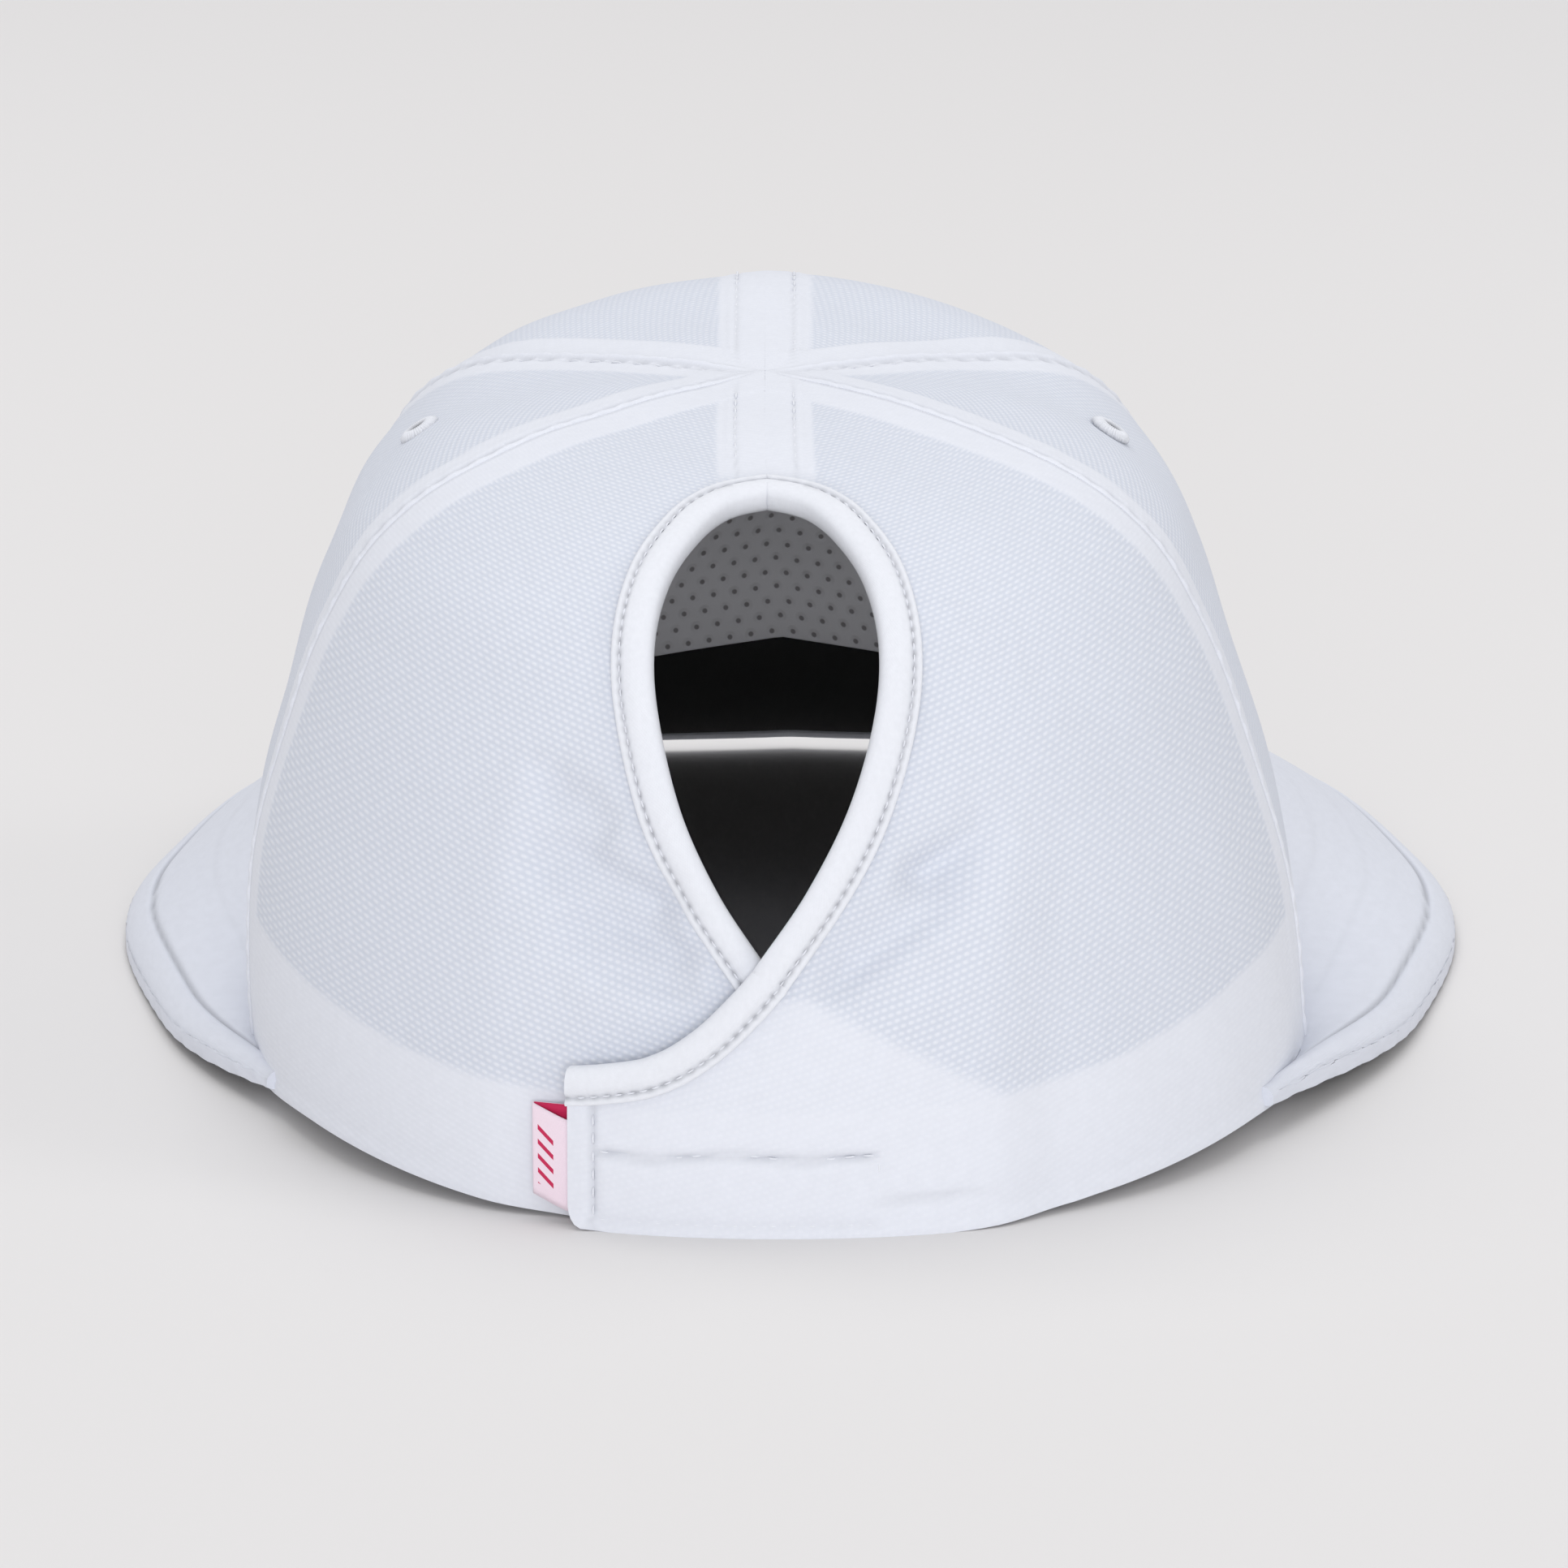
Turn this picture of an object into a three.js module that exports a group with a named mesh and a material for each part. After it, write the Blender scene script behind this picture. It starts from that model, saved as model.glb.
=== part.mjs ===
// A ponytail baseball cap at rest on a floor at z = 0. Millimetres, +Z up, the peak towards -Y, the
// ponytail opening towards +Y, and the wearer's left at +X. The pieces are drawn round the crown's
// axis, and the whole cap then moves so that the origin is on the floor at the middle of its outline.
import * as THREE from "three";

// Crown
const crownWidth = 156;
const backReach = 97; // from the crown's axis to the rim's outside at the back
const frontReach = 94; // the same at the front
const rimSquareness = 2.2; // 2 is an ellipse
const crownHeight = 102.5; // from the floor to where the six seams meet
const frontLift = 41; // rim over the floor at the front, where the peak's arch carries it
const frontRoundness = 1.25; // 2 is broad and flat above the front, 1 is narrow
const sideLift = 4; // rim over the floor at the sides of the back panels
const rimAside = -2.4; // the rim sits this far to the left of the crown above it
const rimAsideTop = 0.45; // share of the way up by which that has faded
const seamStraight = 0.9; // share of the way up from which the back seam keeps to the centre line
const foldEnds = 0.25; // share of a fold's length over which each end fades

// Cloth
const clothWall = 1.2;
const tapeWall = 1.0;
const bindingWall = 0.8;
const layerGap = 0.3; // air between two layers of cloth, and between two panels at a seam
const seamTapeWidth = 14;
const apexHole = 1.6; // radius at which the panels stop short of the point where they meet

// Ponytail opening, tab and fastening, measured on the back of the crown
const openingHalfWidth = 15.9; // inside the bindings
const crossingHeight = 36.5; // floor to where the two bindings cross
const openingTopHeight = 95; // floor to the opening's upper tip
const openingShift = -0.4; // the opening's centre lies this far to the left of the crown's
const crossingShift = 0.5; // and the crossing this far
const tabReach = 26.4; // centre line to the tab's end, on the left
const underTabReach = 29; // centre line to the end of the left panel under the tab, on the right
const tabHeight = 21.6;
const overlapFade = 12; // over this length a back panel leaves the overlap for the crown's surface
const overlapHold = 1; // past the tab's end before that starts
const overlapLow = 1.5; // height over the crossing at which the two panels start to draw level
const overlapHigh = 23; // and at which they are level
const bindingWidth = 5; // on the panel, from its edge
const bindingGap = 0.5; // air between a binding and the panel it folds round
const stripLength = 38;
const stripHeight = 9.8;
const stripFloorGap = 1.3;
const labelHeight = 13.3;
const labelFloorGap = 3.2;
const labelShown = 6; // how far the label stands out of the tab's end
const labelSewnIn = 3;

// Peak
const peakWidth = 207;
const peakFront = 186; // crown's axis to the front of the peak
const peakCornerBack = 44; // crown's axis to the peak's rear corners
const peakCornerSkew = 5.5; // the right one lies this much further back, the left one less far
const peakCornerFrom = 0.75; // share of the way round where the edge starts to rise to a corner
const peakCornerWidth = 1.2; // from the crown to the peak's edge at a rear corner
const peakTopWall = 1.6;
const peakUnderWall = 1.0;
const peakTipLift = 4; // underside over the floor at the front of the peak
const peakCamber = 5; // how far the blade bulges above a straight line from crown to edge
const peakSeat = 0.6; // rim's lower edge to the peak's underside where they meet
const peakAside = -3.8; // the peak's edge sits this far to the left of the crown's centre line
const peakRootGap = 0.5; // air between the crown's cloth and the peak's inner edge

// Sweatband and eyelets
const bandHeight = 25;
const bandWall = 1.2;
const bandTaper = 0.72; // its height at its ends, as a share of its height round the front
const bandGrowth = 57; // degrees round from its ends over which it grows to that height
const sideTapeTop = 0.89; // share of the way up where the side seams' tapes stop by the centre tape
const eyeletRadius = 3;
const eyeletHole = 1;
const eyeletWall = 1.0;
const eyeletTurn = 91; // degrees round from the back
const eyeletClimb = 0.715; // share of the way up the side panel

// Facets: steps round and up, or along and across
const PANEL_STEPS = { round: 10, up: 14 };
const BACK_PANEL_STEPS = { round: 16, belowTab: 3, aboveTip: 5 };
const TAPE_STEPS = { up: 12, front: 5, over: 14 };
const BAND_STEPS = { round: 54, up: 3 };
const STRIP_STEPS = { along: 6, across: 2 };
const PEAK_STEPS = { around: 36, outward: 6 };
const EYELET_STEPS = 14;

// Shapes of the crown from rim to apex: reach as a share of the rim's reach, rise as a share of the
// climb from rim to apex, for the back, the side and the front.
const CROWN_PROFILE = [
  { climb: 0.0, backOut: 1.0, backUp: 0.0, sideOut: 1.0, sideUp: 0.0, frontOut: 1.0, frontUp: 0.0 },
  { climb: 0.125, backOut: 1.0, backUp: 0.17, sideOut: 0.998, sideUp: 0.17, frontOut: 1.0, frontUp: 0.2 },
  { climb: 0.25, backOut: 0.985, backUp: 0.345, sideOut: 0.968, sideUp: 0.35, frontOut: 0.975, frontUp: 0.42 },
  { climb: 0.375, backOut: 0.945, backUp: 0.515, sideOut: 0.906, sideUp: 0.53, frontOut: 0.92, frontUp: 0.64 },
  { climb: 0.5, backOut: 0.875, backUp: 0.675, sideOut: 0.84, sideUp: 0.69, frontOut: 0.85, frontUp: 0.85 },
  { climb: 0.625, backOut: 0.76, backUp: 0.81, sideOut: 0.755, sideUp: 0.83, frontOut: 0.725, frontUp: 1.01 },
  { climb: 0.75, backOut: 0.575, backUp: 0.905, sideOut: 0.595, sideUp: 0.93, frontOut: 0.52, frontUp: 1.085 },
  { climb: 0.875, backOut: 0.31, backUp: 0.965, sideOut: 0.32, sideUp: 0.982, frontOut: 0.27, frontUp: 1.05 },
  { climb: 1.0, backOut: 0.0, backUp: 1.0, sideOut: 0.0, sideUp: 1.0, frontOut: 0.0, frontUp: 1.0 },
];

// Height of the rim round the crown, in degrees from the back, as shares of the two lifts.
const RIM_LIFT = [
  { turn: 0, ofSide: 0, ofFront: 0 },
  { turn: 14, ofSide: 0, ofFront: 0 },
  { turn: 50, ofSide: 1, ofFront: 0 },
  { turn: 78, ofSide: 0.5, ofFront: 0.01 },
  { turn: 105, ofSide: 0, ofFront: 0.2 },
  { turn: 145, ofSide: 0, ofFront: 0.78 },
  { turn: 180, ofSide: 0, ofFront: 1 },
];

// Where the side seams run, in degrees from the back, from rim to apex.
const SEAMS = [
  { climb: 0, back: 78, front: 128 },
  { climb: 0.25, back: 74, front: 127 },
  { climb: 0.5, back: 66, front: 126 },
  { climb: 0.75, back: 54, front: 123 },
  { climb: 1, back: 47, front: 119 },
];

// The opening from the crossing to its tip: half width as a share of openingHalfWidth.
const OPENING_EDGE = [
  { up: 0, half: 0 },
  { up: 0.14, half: 0.42 },
  { up: 0.3, half: 0.76 },
  { up: 0.48, half: 0.96 },
  { up: 0.62, half: 0.99 },
  { up: 0.76, half: 0.87 },
  { up: 0.87, half: 0.65 },
  { up: 0.95, half: 0.38 },
  { up: 1, half: 0 },
];

// The tab's upper edge from its end to the crossing: how far past the crossing, as a share.
const TAB_EDGE = [
  { up: 0, past: 1 },
  { up: 0.03, past: 0.9 },
  { up: 0.14, past: 0.6 },
  { up: 0.4, past: 0.34 },
  { up: 0.8, past: 0.1 },
  { up: 1, past: 0 },
];

// The outer edge of the peak from the front to a rear corner, as shares of half the peak's width, of
// its length from the corners to the front, and of its lift at the front.
const PEAK_EDGE = [
  { along: 0, out: 0, ahead: 1, lift: 1 },
  { along: 0.2, out: 0.45, ahead: 0.965, lift: 1 },
  { along: 0.4, out: 0.81, ahead: 0.84, lift: 0.85 },
  { along: 0.6, out: 0.975, ahead: 0.608, lift: 0.3 },
  { along: 0.75, out: 1, ahead: 0.44, lift: 0 },
  { along: 0.87, out: 0.922, ahead: 0.243, lift: 0 },
  { along: 0.94, out: 0.845, ahead: 0.126, lift: 0 },
  { along: 1, out: 0.702, ahead: 0, lift: 0 },
];

// Soft folds that fan out from the opening's lower end, from one place to another as shares of half
// the crown's width (left is positive) and of its height.
const FOLDS = [
  { fromOut: 0.42, fromUp: 0.6, toOut: 0.26, toUp: 0.52, deep: 0.9, wide: 4 },
  { fromOut: 0.46, fromUp: 0.52, toOut: 0.13, toUp: 0.41, deep: 1.5, wide: 4.5 },
  { fromOut: 0.4, fromUp: 0.42, toOut: 0.1, toUp: 0.35, deep: 1.3, wide: 4 },
  { fromOut: -0.08, fromUp: 0.33, toOut: -0.4, toUp: 0.52, deep: 1.4, wide: 4.5 },
  { fromOut: -0.24, fromUp: 0.46, toOut: -0.44, toUp: 0.55, deep: 0.8, wide: 4 },
];

// Half the section of an eyelet's sewn ring: from its hole to its edge, and up, as shares.
const EYELET_SECTION = [
  { across: 0, up: 0 },
  { across: 1, up: 0 },
  { across: 0.95, up: 0.55 },
  { across: 0.5, up: 1 },
  { across: 0, up: 0.5 },
  { across: 0, up: 0 },
];

// Layers of the overlap, outwards from the crown's surface
const overlapStack = 2 * tapeWall + 3 * layerGap; // what lies between the two back panels
const tabOut = (overlapStack + clothWall) / 2 + layerGap; // outer face of the tab
const leftPanelOut = tabOut - clothWall - overlapStack; // outer face of the left panel under it
const halfSeam = layerGap / 2;
const foldOver = bindingGap + bindingWall; // how far a binding stands past its panel's edge

const degrees = Math.PI / 180;
const mix = (a, b, share) => a + (b - a) * share;
const clamp01 = (v) => Math.min(1, Math.max(0, v));
const ease = (v) => clamp01(v) ** 2 * (3 - 2 * clamp01(v));
const steps = (count, from = 0, to = 1) =>
  Array.from({ length: count + 1 }, (_, i) => mix(from, to, i / count));

// A smooth value between the rows of a table, by a cubic through each row and its neighbours.
function lookUp(table, across, column, at) {
  const last = table.length - 1;
  let i = 0;
  while (i < last - 1 && at > table[i + 1][across]) i++;
  const slope = (k) => {
    const a = table[Math.max(0, k - 1)];
    const b = table[Math.min(last, k + 1)];
    return (b[column] - a[column]) / (b[across] - a[across]);
  };
  const [start, end] = [table[i], table[i + 1]];
  const span = end[across] - start[across];
  const t = clamp01((at - start[across]) / span);
  const bend = t * (1 - t) * span;
  const line = mix(start[column], end[column], ease(t));
  return line + bend * ((1 - t) * slope(i) - t * slope(i + 1));
}

// Crown surface: turn in radians from the back towards the wearer's left, climb from rim to apex.
function rimReach(turn) {
  const ahead = Math.cos(turn) < 0 ? frontReach : backReach;
  const across = Math.abs(Math.sin(turn)) / (crownWidth / 2);
  const along = Math.abs(Math.cos(turn)) / ahead;
  return (across ** rimSquareness + along ** rimSquareness) ** (-1 / rimSquareness);
}

function rimHeight(turn) {
  const around = Math.abs(turn > Math.PI ? turn - 2 * Math.PI : turn) / degrees;
  const side = lookUp(RIM_LIFT, "turn", "ofSide", around);
  const front = lookUp(RIM_LIFT, "turn", "ofFront", around);
  return around <= RIM_LIFT[1].turn ? 0 : Math.max(0, side * sideLift + front * frontLift);
}

function profile(turn, climb, measure) {
  const ahead = Math.cos(turn) < 0;
  const side = Math.abs(Math.sin(turn)) ** (ahead ? frontRoundness : 2);
  const end = ahead ? "front" : "back";
  const atSide = lookUp(CROWN_PROFILE, "climb", "side" + measure, climb);
  const atEnd = lookUp(CROWN_PROFILE, "climb", end + measure, climb);
  return mix(atEnd, atSide, side);
}

const aside = (climb) => rimAside * clamp01(1 - climb / rimAsideTop) ** 2;

function smoothPoint(turn, climb) {
  const out = rimReach(turn) * profile(turn, climb, "Out");
  const base = rimHeight(turn);
  const up = base + (crownHeight - base) * profile(turn, climb, "Up");
  return new THREE.Vector3(out * Math.sin(turn) + aside(climb), out * Math.cos(turn), up);
}

// The direction up the crown and the one out of it at a spot. At the rim, out is level.
function rising(turn, climb) {
  const step = 1e-3;
  const low = Math.min(Math.max(0, climb - step), 1 - 3 * step);
  return smoothPoint(turn, low + 2 * step).sub(smoothPoint(turn, low)).normalize();
}

function outwards(turn, climb) {
  const step = 1e-3;
  const beside = Math.min(climb, 1 - 2 * step);
  const round = smoothPoint(turn + step, beside).sub(smoothPoint(turn - step, beside));
  const normal = round.cross(rising(turn, climb)).negate();
  if (climb === 0) normal.z = 0;
  return normal.normalize();
}

function foldDepth(point) {
  if (point.y < 0) return 0;
  let depth = 0;
  for (const fold of FOLDS) {
    const from = new THREE.Vector2((fold.fromOut * crownWidth) / 2, fold.fromUp * crownHeight);
    const along = new THREE.Vector2((fold.toOut * crownWidth) / 2, fold.toUp * crownHeight).sub(from);
    const spot = new THREE.Vector2(point.x, point.z).sub(from);
    const share = spot.dot(along) / along.lengthSq();
    const aside = spot.clone().addScaledVector(along, -clamp01(share)).length();
    const fade = ease(share / foldEnds) * ease((1 - share) / foldEnds);
    depth += fold.deep * fade * Math.exp(-((aside / fold.wide) ** 2));
  }
  return depth;
}

function crownPoint(turn, climb, out) {
  const point = smoothPoint(turn, climb);
  return point.clone().addScaledVector(outwards(turn, climb), out - foldDepth(point));
}

// The climb at which the crown stands this far above the floor.
function climbAt(turn, height) {
  let [low, high] = [0, 0.95];
  for (let i = 0; i < 24; i++) {
    const middle = (low + high) / 2;
    if (smoothPoint(turn, middle).z < height) low = middle;
    else high = middle;
  }
  return low;
}

const signedUnit = (v) => Math.min(1, Math.max(-1, v));
const turnFor = (across, climb) =>
  Math.asin(signedUnit((across - aside(climb)) / smoothPoint(0, climb).y));
const crossingClimb = climbAt(0, crossingHeight);
const openingTopClimb = climbAt(0, openingTopHeight);
const tabClimb = climbAt(0, tabHeight);
const overlapLowClimb = climbAt(0, crossingHeight + overlapLow);
const overlapHighClimb = climbAt(0, crossingHeight + overlapHigh);

// How much of the overlap's offset a spot on the back has: 1 in the overlap, 0 away from it.
function overlapShare(turn, climb) {
  const across = smoothPoint(turn, climb).x;
  const past = across > 0 ? across - tabReach : -across - underTabReach;
  const beside = 1 - ease((past - overlapHold) / overlapFade);
  const above = 1 - ease((climb - overlapLowClimb) / (overlapHighClimb - overlapLowClimb));
  return Math.cos(turn) > 0 ? beside * above : 0;
}

// Turns a turn further by a length along the crown, at that climb.
function shiftTurn(turn, climb, length) {
  const point = smoothPoint(turn, climb);
  return turn + length / Math.hypot(point.x, point.y);
}

// The spot that lies a length away from another on the crown, in a direction along its surface.
function shiftSpot(spot, direction, length) {
  const step = 1e-3;
  const here = smoothPoint(spot.turn, spot.climb);
  const round = smoothPoint(spot.turn + step, spot.climb).sub(here).divideScalar(step);
  const rise = smoothPoint(spot.turn, spot.climb + step).sub(here).divideScalar(step);
  const [rr, uu, ru] = [round.lengthSq(), rise.lengthSq(), round.dot(rise)];
  const [dr, du] = [direction.dot(round) * length, direction.dot(rise) * length];
  const area = rr * uu - ru * ru;
  return {
    turn: spot.turn + (dr * uu - du * ru) / area,
    climb: spot.climb + (du * rr - dr * ru) / area,
  };
}

// A geometry whose faces point out, whichever way round its grid ran.
function solidFrom(points, triangles) {
  let volume = 0;
  for (let k = 0; k < triangles.length; k += 3) {
    const [a, b, c] = [points[triangles[k]], points[triangles[k + 1]], points[triangles[k + 2]]];
    volume += a.dot(b.clone().cross(c));
  }
  if (volume < 0) triangles.reverse();
  const geometry = new THREE.BufferGeometry().setFromPoints(points);
  geometry.setIndex(triangles);
  geometry.computeVertexNormals();
  return geometry;
}

// A closed solid from a grid on its outer face (0), the same grid on its inner face (1), and a border.
function clothSolid(columns, rows, place) {
  const wide = columns.length;
  const tall = rows.length;
  const points = [];
  for (const face of [0, 1])
    for (const row of rows) for (const column of columns) points.push(place(column, row, face));
  const triangles = [];
  const quad = (a, b, c, d) => triangles.push(a, b, c, a, c, d);
  const at = (i, j, face) => (face * tall + j) * wide + i;
  for (let j = 0; j < tall - 1; j++)
    for (let i = 0; i < wide - 1; i++) {
      quad(at(i, j, 0), at(i + 1, j, 0), at(i + 1, j + 1, 0), at(i, j + 1, 0));
      quad(at(i, j, 1), at(i, j + 1, 1), at(i + 1, j + 1, 1), at(i + 1, j, 1));
    }
  for (let i = 0; i < wide - 1; i++) {
    quad(at(i, 0, 0), at(i, 0, 1), at(i + 1, 0, 1), at(i + 1, 0, 0));
    quad(at(i, tall - 1, 0), at(i + 1, tall - 1, 0), at(i + 1, tall - 1, 1), at(i, tall - 1, 1));
  }
  for (let j = 0; j < tall - 1; j++) {
    quad(at(0, j, 0), at(0, j + 1, 0), at(0, j + 1, 1), at(0, j, 1));
    quad(at(wide - 1, j, 0), at(wide - 1, j, 1), at(wide - 1, j + 1, 1), at(wide - 1, j + 1, 0));
  }
  return solidFrom(points, triangles);
}

// Panels
const seamTurn = (seam, climb) => lookUp(SEAMS, "climb", seam, climb) * degrees;
const panelTop = climbForReach(0, apexHole);

function plainPanel(side, fromTurn, toTurn) {
  return clothSolid(steps(PANEL_STEPS.round), steps(PANEL_STEPS.up, 0, panelTop), (u, climb, face) => {
    const start = shiftTurn(fromTurn(climb), climb, halfSeam);
    const end = shiftTurn(toTurn(climb), climb, -halfSeam);
    return crownPoint(side * mix(start, end, u), climb, -face * clothWall);
  });
}

// The inner edge of a back panel from the opening's tip down to the tab's end, as places on the crown.
const OPENING_STEPS = [1, 0.985, 0.95, 0.9, 0.83, 0.74, 0.64, 0.53, 0.42, 0.31, 0.21, 0.13, 0.06, 0];
const TAB_STEPS = [0.8, 0.6, 0.42, 0.27, 0.16, 0.08, 0.03, 0];

const panelReach = (side) => (side < 0 ? tabReach : underTabReach);

function edgeSpots(side) {
  const opening = OPENING_STEPS.map((up) => {
    const climb = mix(crossingClimb, openingTopClimb, up);
    const half = (openingHalfWidth + foldOver) * lookUp(OPENING_EDGE, "up", "half", up);
    const shift = mix(crossingShift, openingShift, ease(2 * up));
    return { turn: turnFor(shift + side * Math.max(halfSeam, half), climb), climb };
  });
  const sweep = TAB_STEPS.map((up) => {
    const climb = mix(tabClimb, crossingClimb, up);
    const past = lookUp(TAB_EDGE, "up", "past", up);
    return { turn: turnFor(mix(crossingShift, -side * panelReach(side), past), climb), climb };
  });
  return [...opening, ...sweep];
}

// The centre seam runs from the opening's tip, which is off the centre line, to the apex.
function tipTurn(climb) {
  const share = ease((climb - openingTopClimb) / (seamStraight - openingTopClimb));
  return turnFor(openingShift, openingTopClimb) * (1 - share);
}

function backPanel(side, layerOut) {
  const edge = edgeSpots(side).reverse();
  const belowTab = steps(BACK_PANEL_STEPS.belowTab, 0, tabClimb)
    .slice(0, -1)
    .map((climb) => ({ turn: turnFor(-side * panelReach(side), climb), climb }));
  const aboveTip = steps(BACK_PANEL_STEPS.aboveTip, openingTopClimb, panelTop)
    .slice(1)
    .map((climb) => ({ turn: side * shiftTurn(0, climb, halfSeam) + tipTurn(climb), climb }));
  const spots = [...belowTab, ...edge, ...aboveTip];
  return clothSolid(steps(BACK_PANEL_STEPS.round), spots, (u, spot, face) => {
    const climb = spot.climb;
    const seam = side * shiftTurn(seamTurn("back", climb), climb, -halfSeam);
    const turn = mix(spot.turn, seam, u);
    return crownPoint(turn, climb, layerOut * overlapShare(turn, climb) - face * clothWall);
  });
}

// The folded binding round a back panel's inner edge, as a U-shaped section swept along the edge.
function binding(side, layerOut) {
  const low = -(clothWall + foldOver);
  const turned = foldOver - 0.7 * bindingWall;
  const section = [
    [bindingWidth, bindingGap],
    [-bindingGap, bindingGap],
    [-bindingGap, -clothWall - bindingGap],
    [bindingWidth, -clothWall - bindingGap],
    [bindingWidth, low],
    [-turned, low],
    [-foldOver, -clothWall - turned],
    [-foldOver, turned],
    [-turned, foldOver],
    [bindingWidth, foldOver],
  ];
  const spots = edgeSpots(side);
  const here = spots.map((spot) => smoothPoint(spot.turn, spot.climb));
  const points = [];
  spots.forEach((spot, k) => {
    const along = here[Math.min(k + 1, here.length - 1)].clone().sub(here[Math.max(k - 1, 0)]);
    if (k === 0) along.set(side, 0, 0);
    if (k === spots.length - 1) along.set(-side, 0, 0);
    const normal = outwards(spot.turn, spot.climb);
    const away = normal.clone().cross(along).multiplyScalar(-side).normalize();
    for (const [inwards, out] of section) {
      const place = shiftSpot(spot, away, inwards);
      const lift = layerOut * overlapShare(place.turn, place.climb);
      points.push(crownPoint(place.turn, place.climb, lift + out));
    }
  });
  return sweptSolid(section, points);
}

// A closed solid from a section repeated along a path.
function sweptSolid(section, points) {
  const size = section.length;
  const count = points.length / size;
  const triangles = [];
  for (let k = 0; k < count - 1; k++)
    for (let i = 0; i < size; i++) {
      const j = (i + 1) % size;
      const [a, b] = [k * size, (k + 1) * size];
      triangles.push(a + i, a + j, b + j, a + i, b + j, b + i);
    }
  const outline = section.map(([x, y]) => new THREE.Vector2(x, y));
  const turnsLeft = THREE.ShapeUtils.area(outline) > 0;
  const caps = THREE.ShapeUtils.triangulateShape(outline, []);
  for (const [a, b, c] of caps) {
    const first = turnsLeft ? [c, b, a] : [a, b, c];
    const last = first.slice().reverse();
    triangles.push(...first, ...last.map((i) => i + (count - 1) * size));
  }
  return solidFrom(points, triangles);
}

// Tapes inside the seams, above the sweatband
const underPanel = -(clothWall + 2 * layerGap);
const bandTop = (turn) => climbAt(turn, rimHeight(turn) + bandHeight + 2 * layerGap);

function seamTape(side, seam) {
  const climbs = steps(TAPE_STEPS.up, bandTop(seamTurn(seam, 0)), sideTapeTop);
  return clothSolid([-0.5, 0, 0.5], climbs, (u, climb, face) => {
    const turn = shiftTurn(seamTurn(seam, climb), climb, u * seamTapeWidth);
    return crownPoint(side * turn, climb, underPanel - face * tapeWall);
  });
}

// The climb at which the crown's upper part lies this far from its axis.
function climbForReach(turn, reach) {
  let [low, high] = [0.3, 1];
  for (let i = 0; i < 24; i++) {
    const middle = (low + high) / 2;
    const point = smoothPoint(turn, middle);
    if (Math.hypot(point.x, point.y) > reach) low = middle;
    else high = middle;
  }
  return low;
}

// The centre tape runs from the sweatband at the front, over the apex, to the opening's binding.
function centreTape() {
  const shoulder = 0.5;
  const lower = steps(TAPE_STEPS.front, bandTop(Math.PI), shoulder);
  const tip = shiftSpot({ turn: 0, climb: openingTopClimb }, rising(0, openingTopClimb), bindingWidth);
  const backEnd = smoothPoint(0, tip.climb).y - 2 * layerGap;
  const over = steps(TAPE_STEPS.over, smoothPoint(Math.PI, shoulder).y, backEnd).slice(1);
  const rows = [...lower.map((climb) => ({ climb })), ...over.map((y) => ({ y }))];
  return clothSolid([-0.5, 0, 0.5], rows, (u, row, face) => {
    const across = u * seamTapeWidth;
    const inFront = row.y === undefined;
    const turn = inFront ? shiftTurn(Math.PI, row.climb, -across) : Math.atan2(across, row.y);
    const climb = inFront ? row.climb : climbForReach(turn, Math.hypot(across, row.y));
    return crownPoint(turn, climb, underPanel - face * tapeWall);
  });
}

// Sweatband, open at the back where the tab overlaps
function sweatband() {
  const start = turnFor(tabReach + overlapFade, 0);
  const end = 2 * Math.PI + turnFor(-underTabReach - overlapFade, 0);
  return clothSolid(steps(BAND_STEPS.round, start, end), steps(BAND_STEPS.up), (turn, v, face) => {
    const growth = ease(Math.min(turn - start, end - turn) / (bandGrowth * degrees));
    const taper = mix(bandTaper, 1, growth);
    const height = mix(layerGap, bandHeight * taper, v);
    const climb = climbAt(turn, rimHeight(turn) + height);
    return crownPoint(turn, climb, underPanel - face * bandWall);
  });
}

// A flat strip on the back of the crown, from one length to the left of the centre line to another.
function backStrip(from, to, bottom, top, out, wall) {
  const [along, across] = [steps(STRIP_STEPS.along, from, to), steps(STRIP_STEPS.across, bottom, top)];
  return clothSolid(along, across, (reach, height, face) => {
    const climb = climbAt(0, height);
    return crownPoint(turnFor(reach, climb), climb, out - face * wall);
  });
}

// Peak: a blade from the crown's rim to an outer edge, both drawn from the left rear corner round the
// front to the right one.
const leftCornerTurn = turnAtBack(peakCornerBack - peakCornerSkew);
const rightCornerTurn = turnAtBack(peakCornerBack + peakCornerSkew);

function turnAtBack(back) {
  let [low, high] = [Math.PI / 4, Math.PI / 2];
  for (let i = 0; i < 24; i++) {
    const middle = (low + high) / 2;
    if (smoothPoint(middle, 0).y > back) low = middle;
    else high = middle;
  }
  return low;
}

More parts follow.
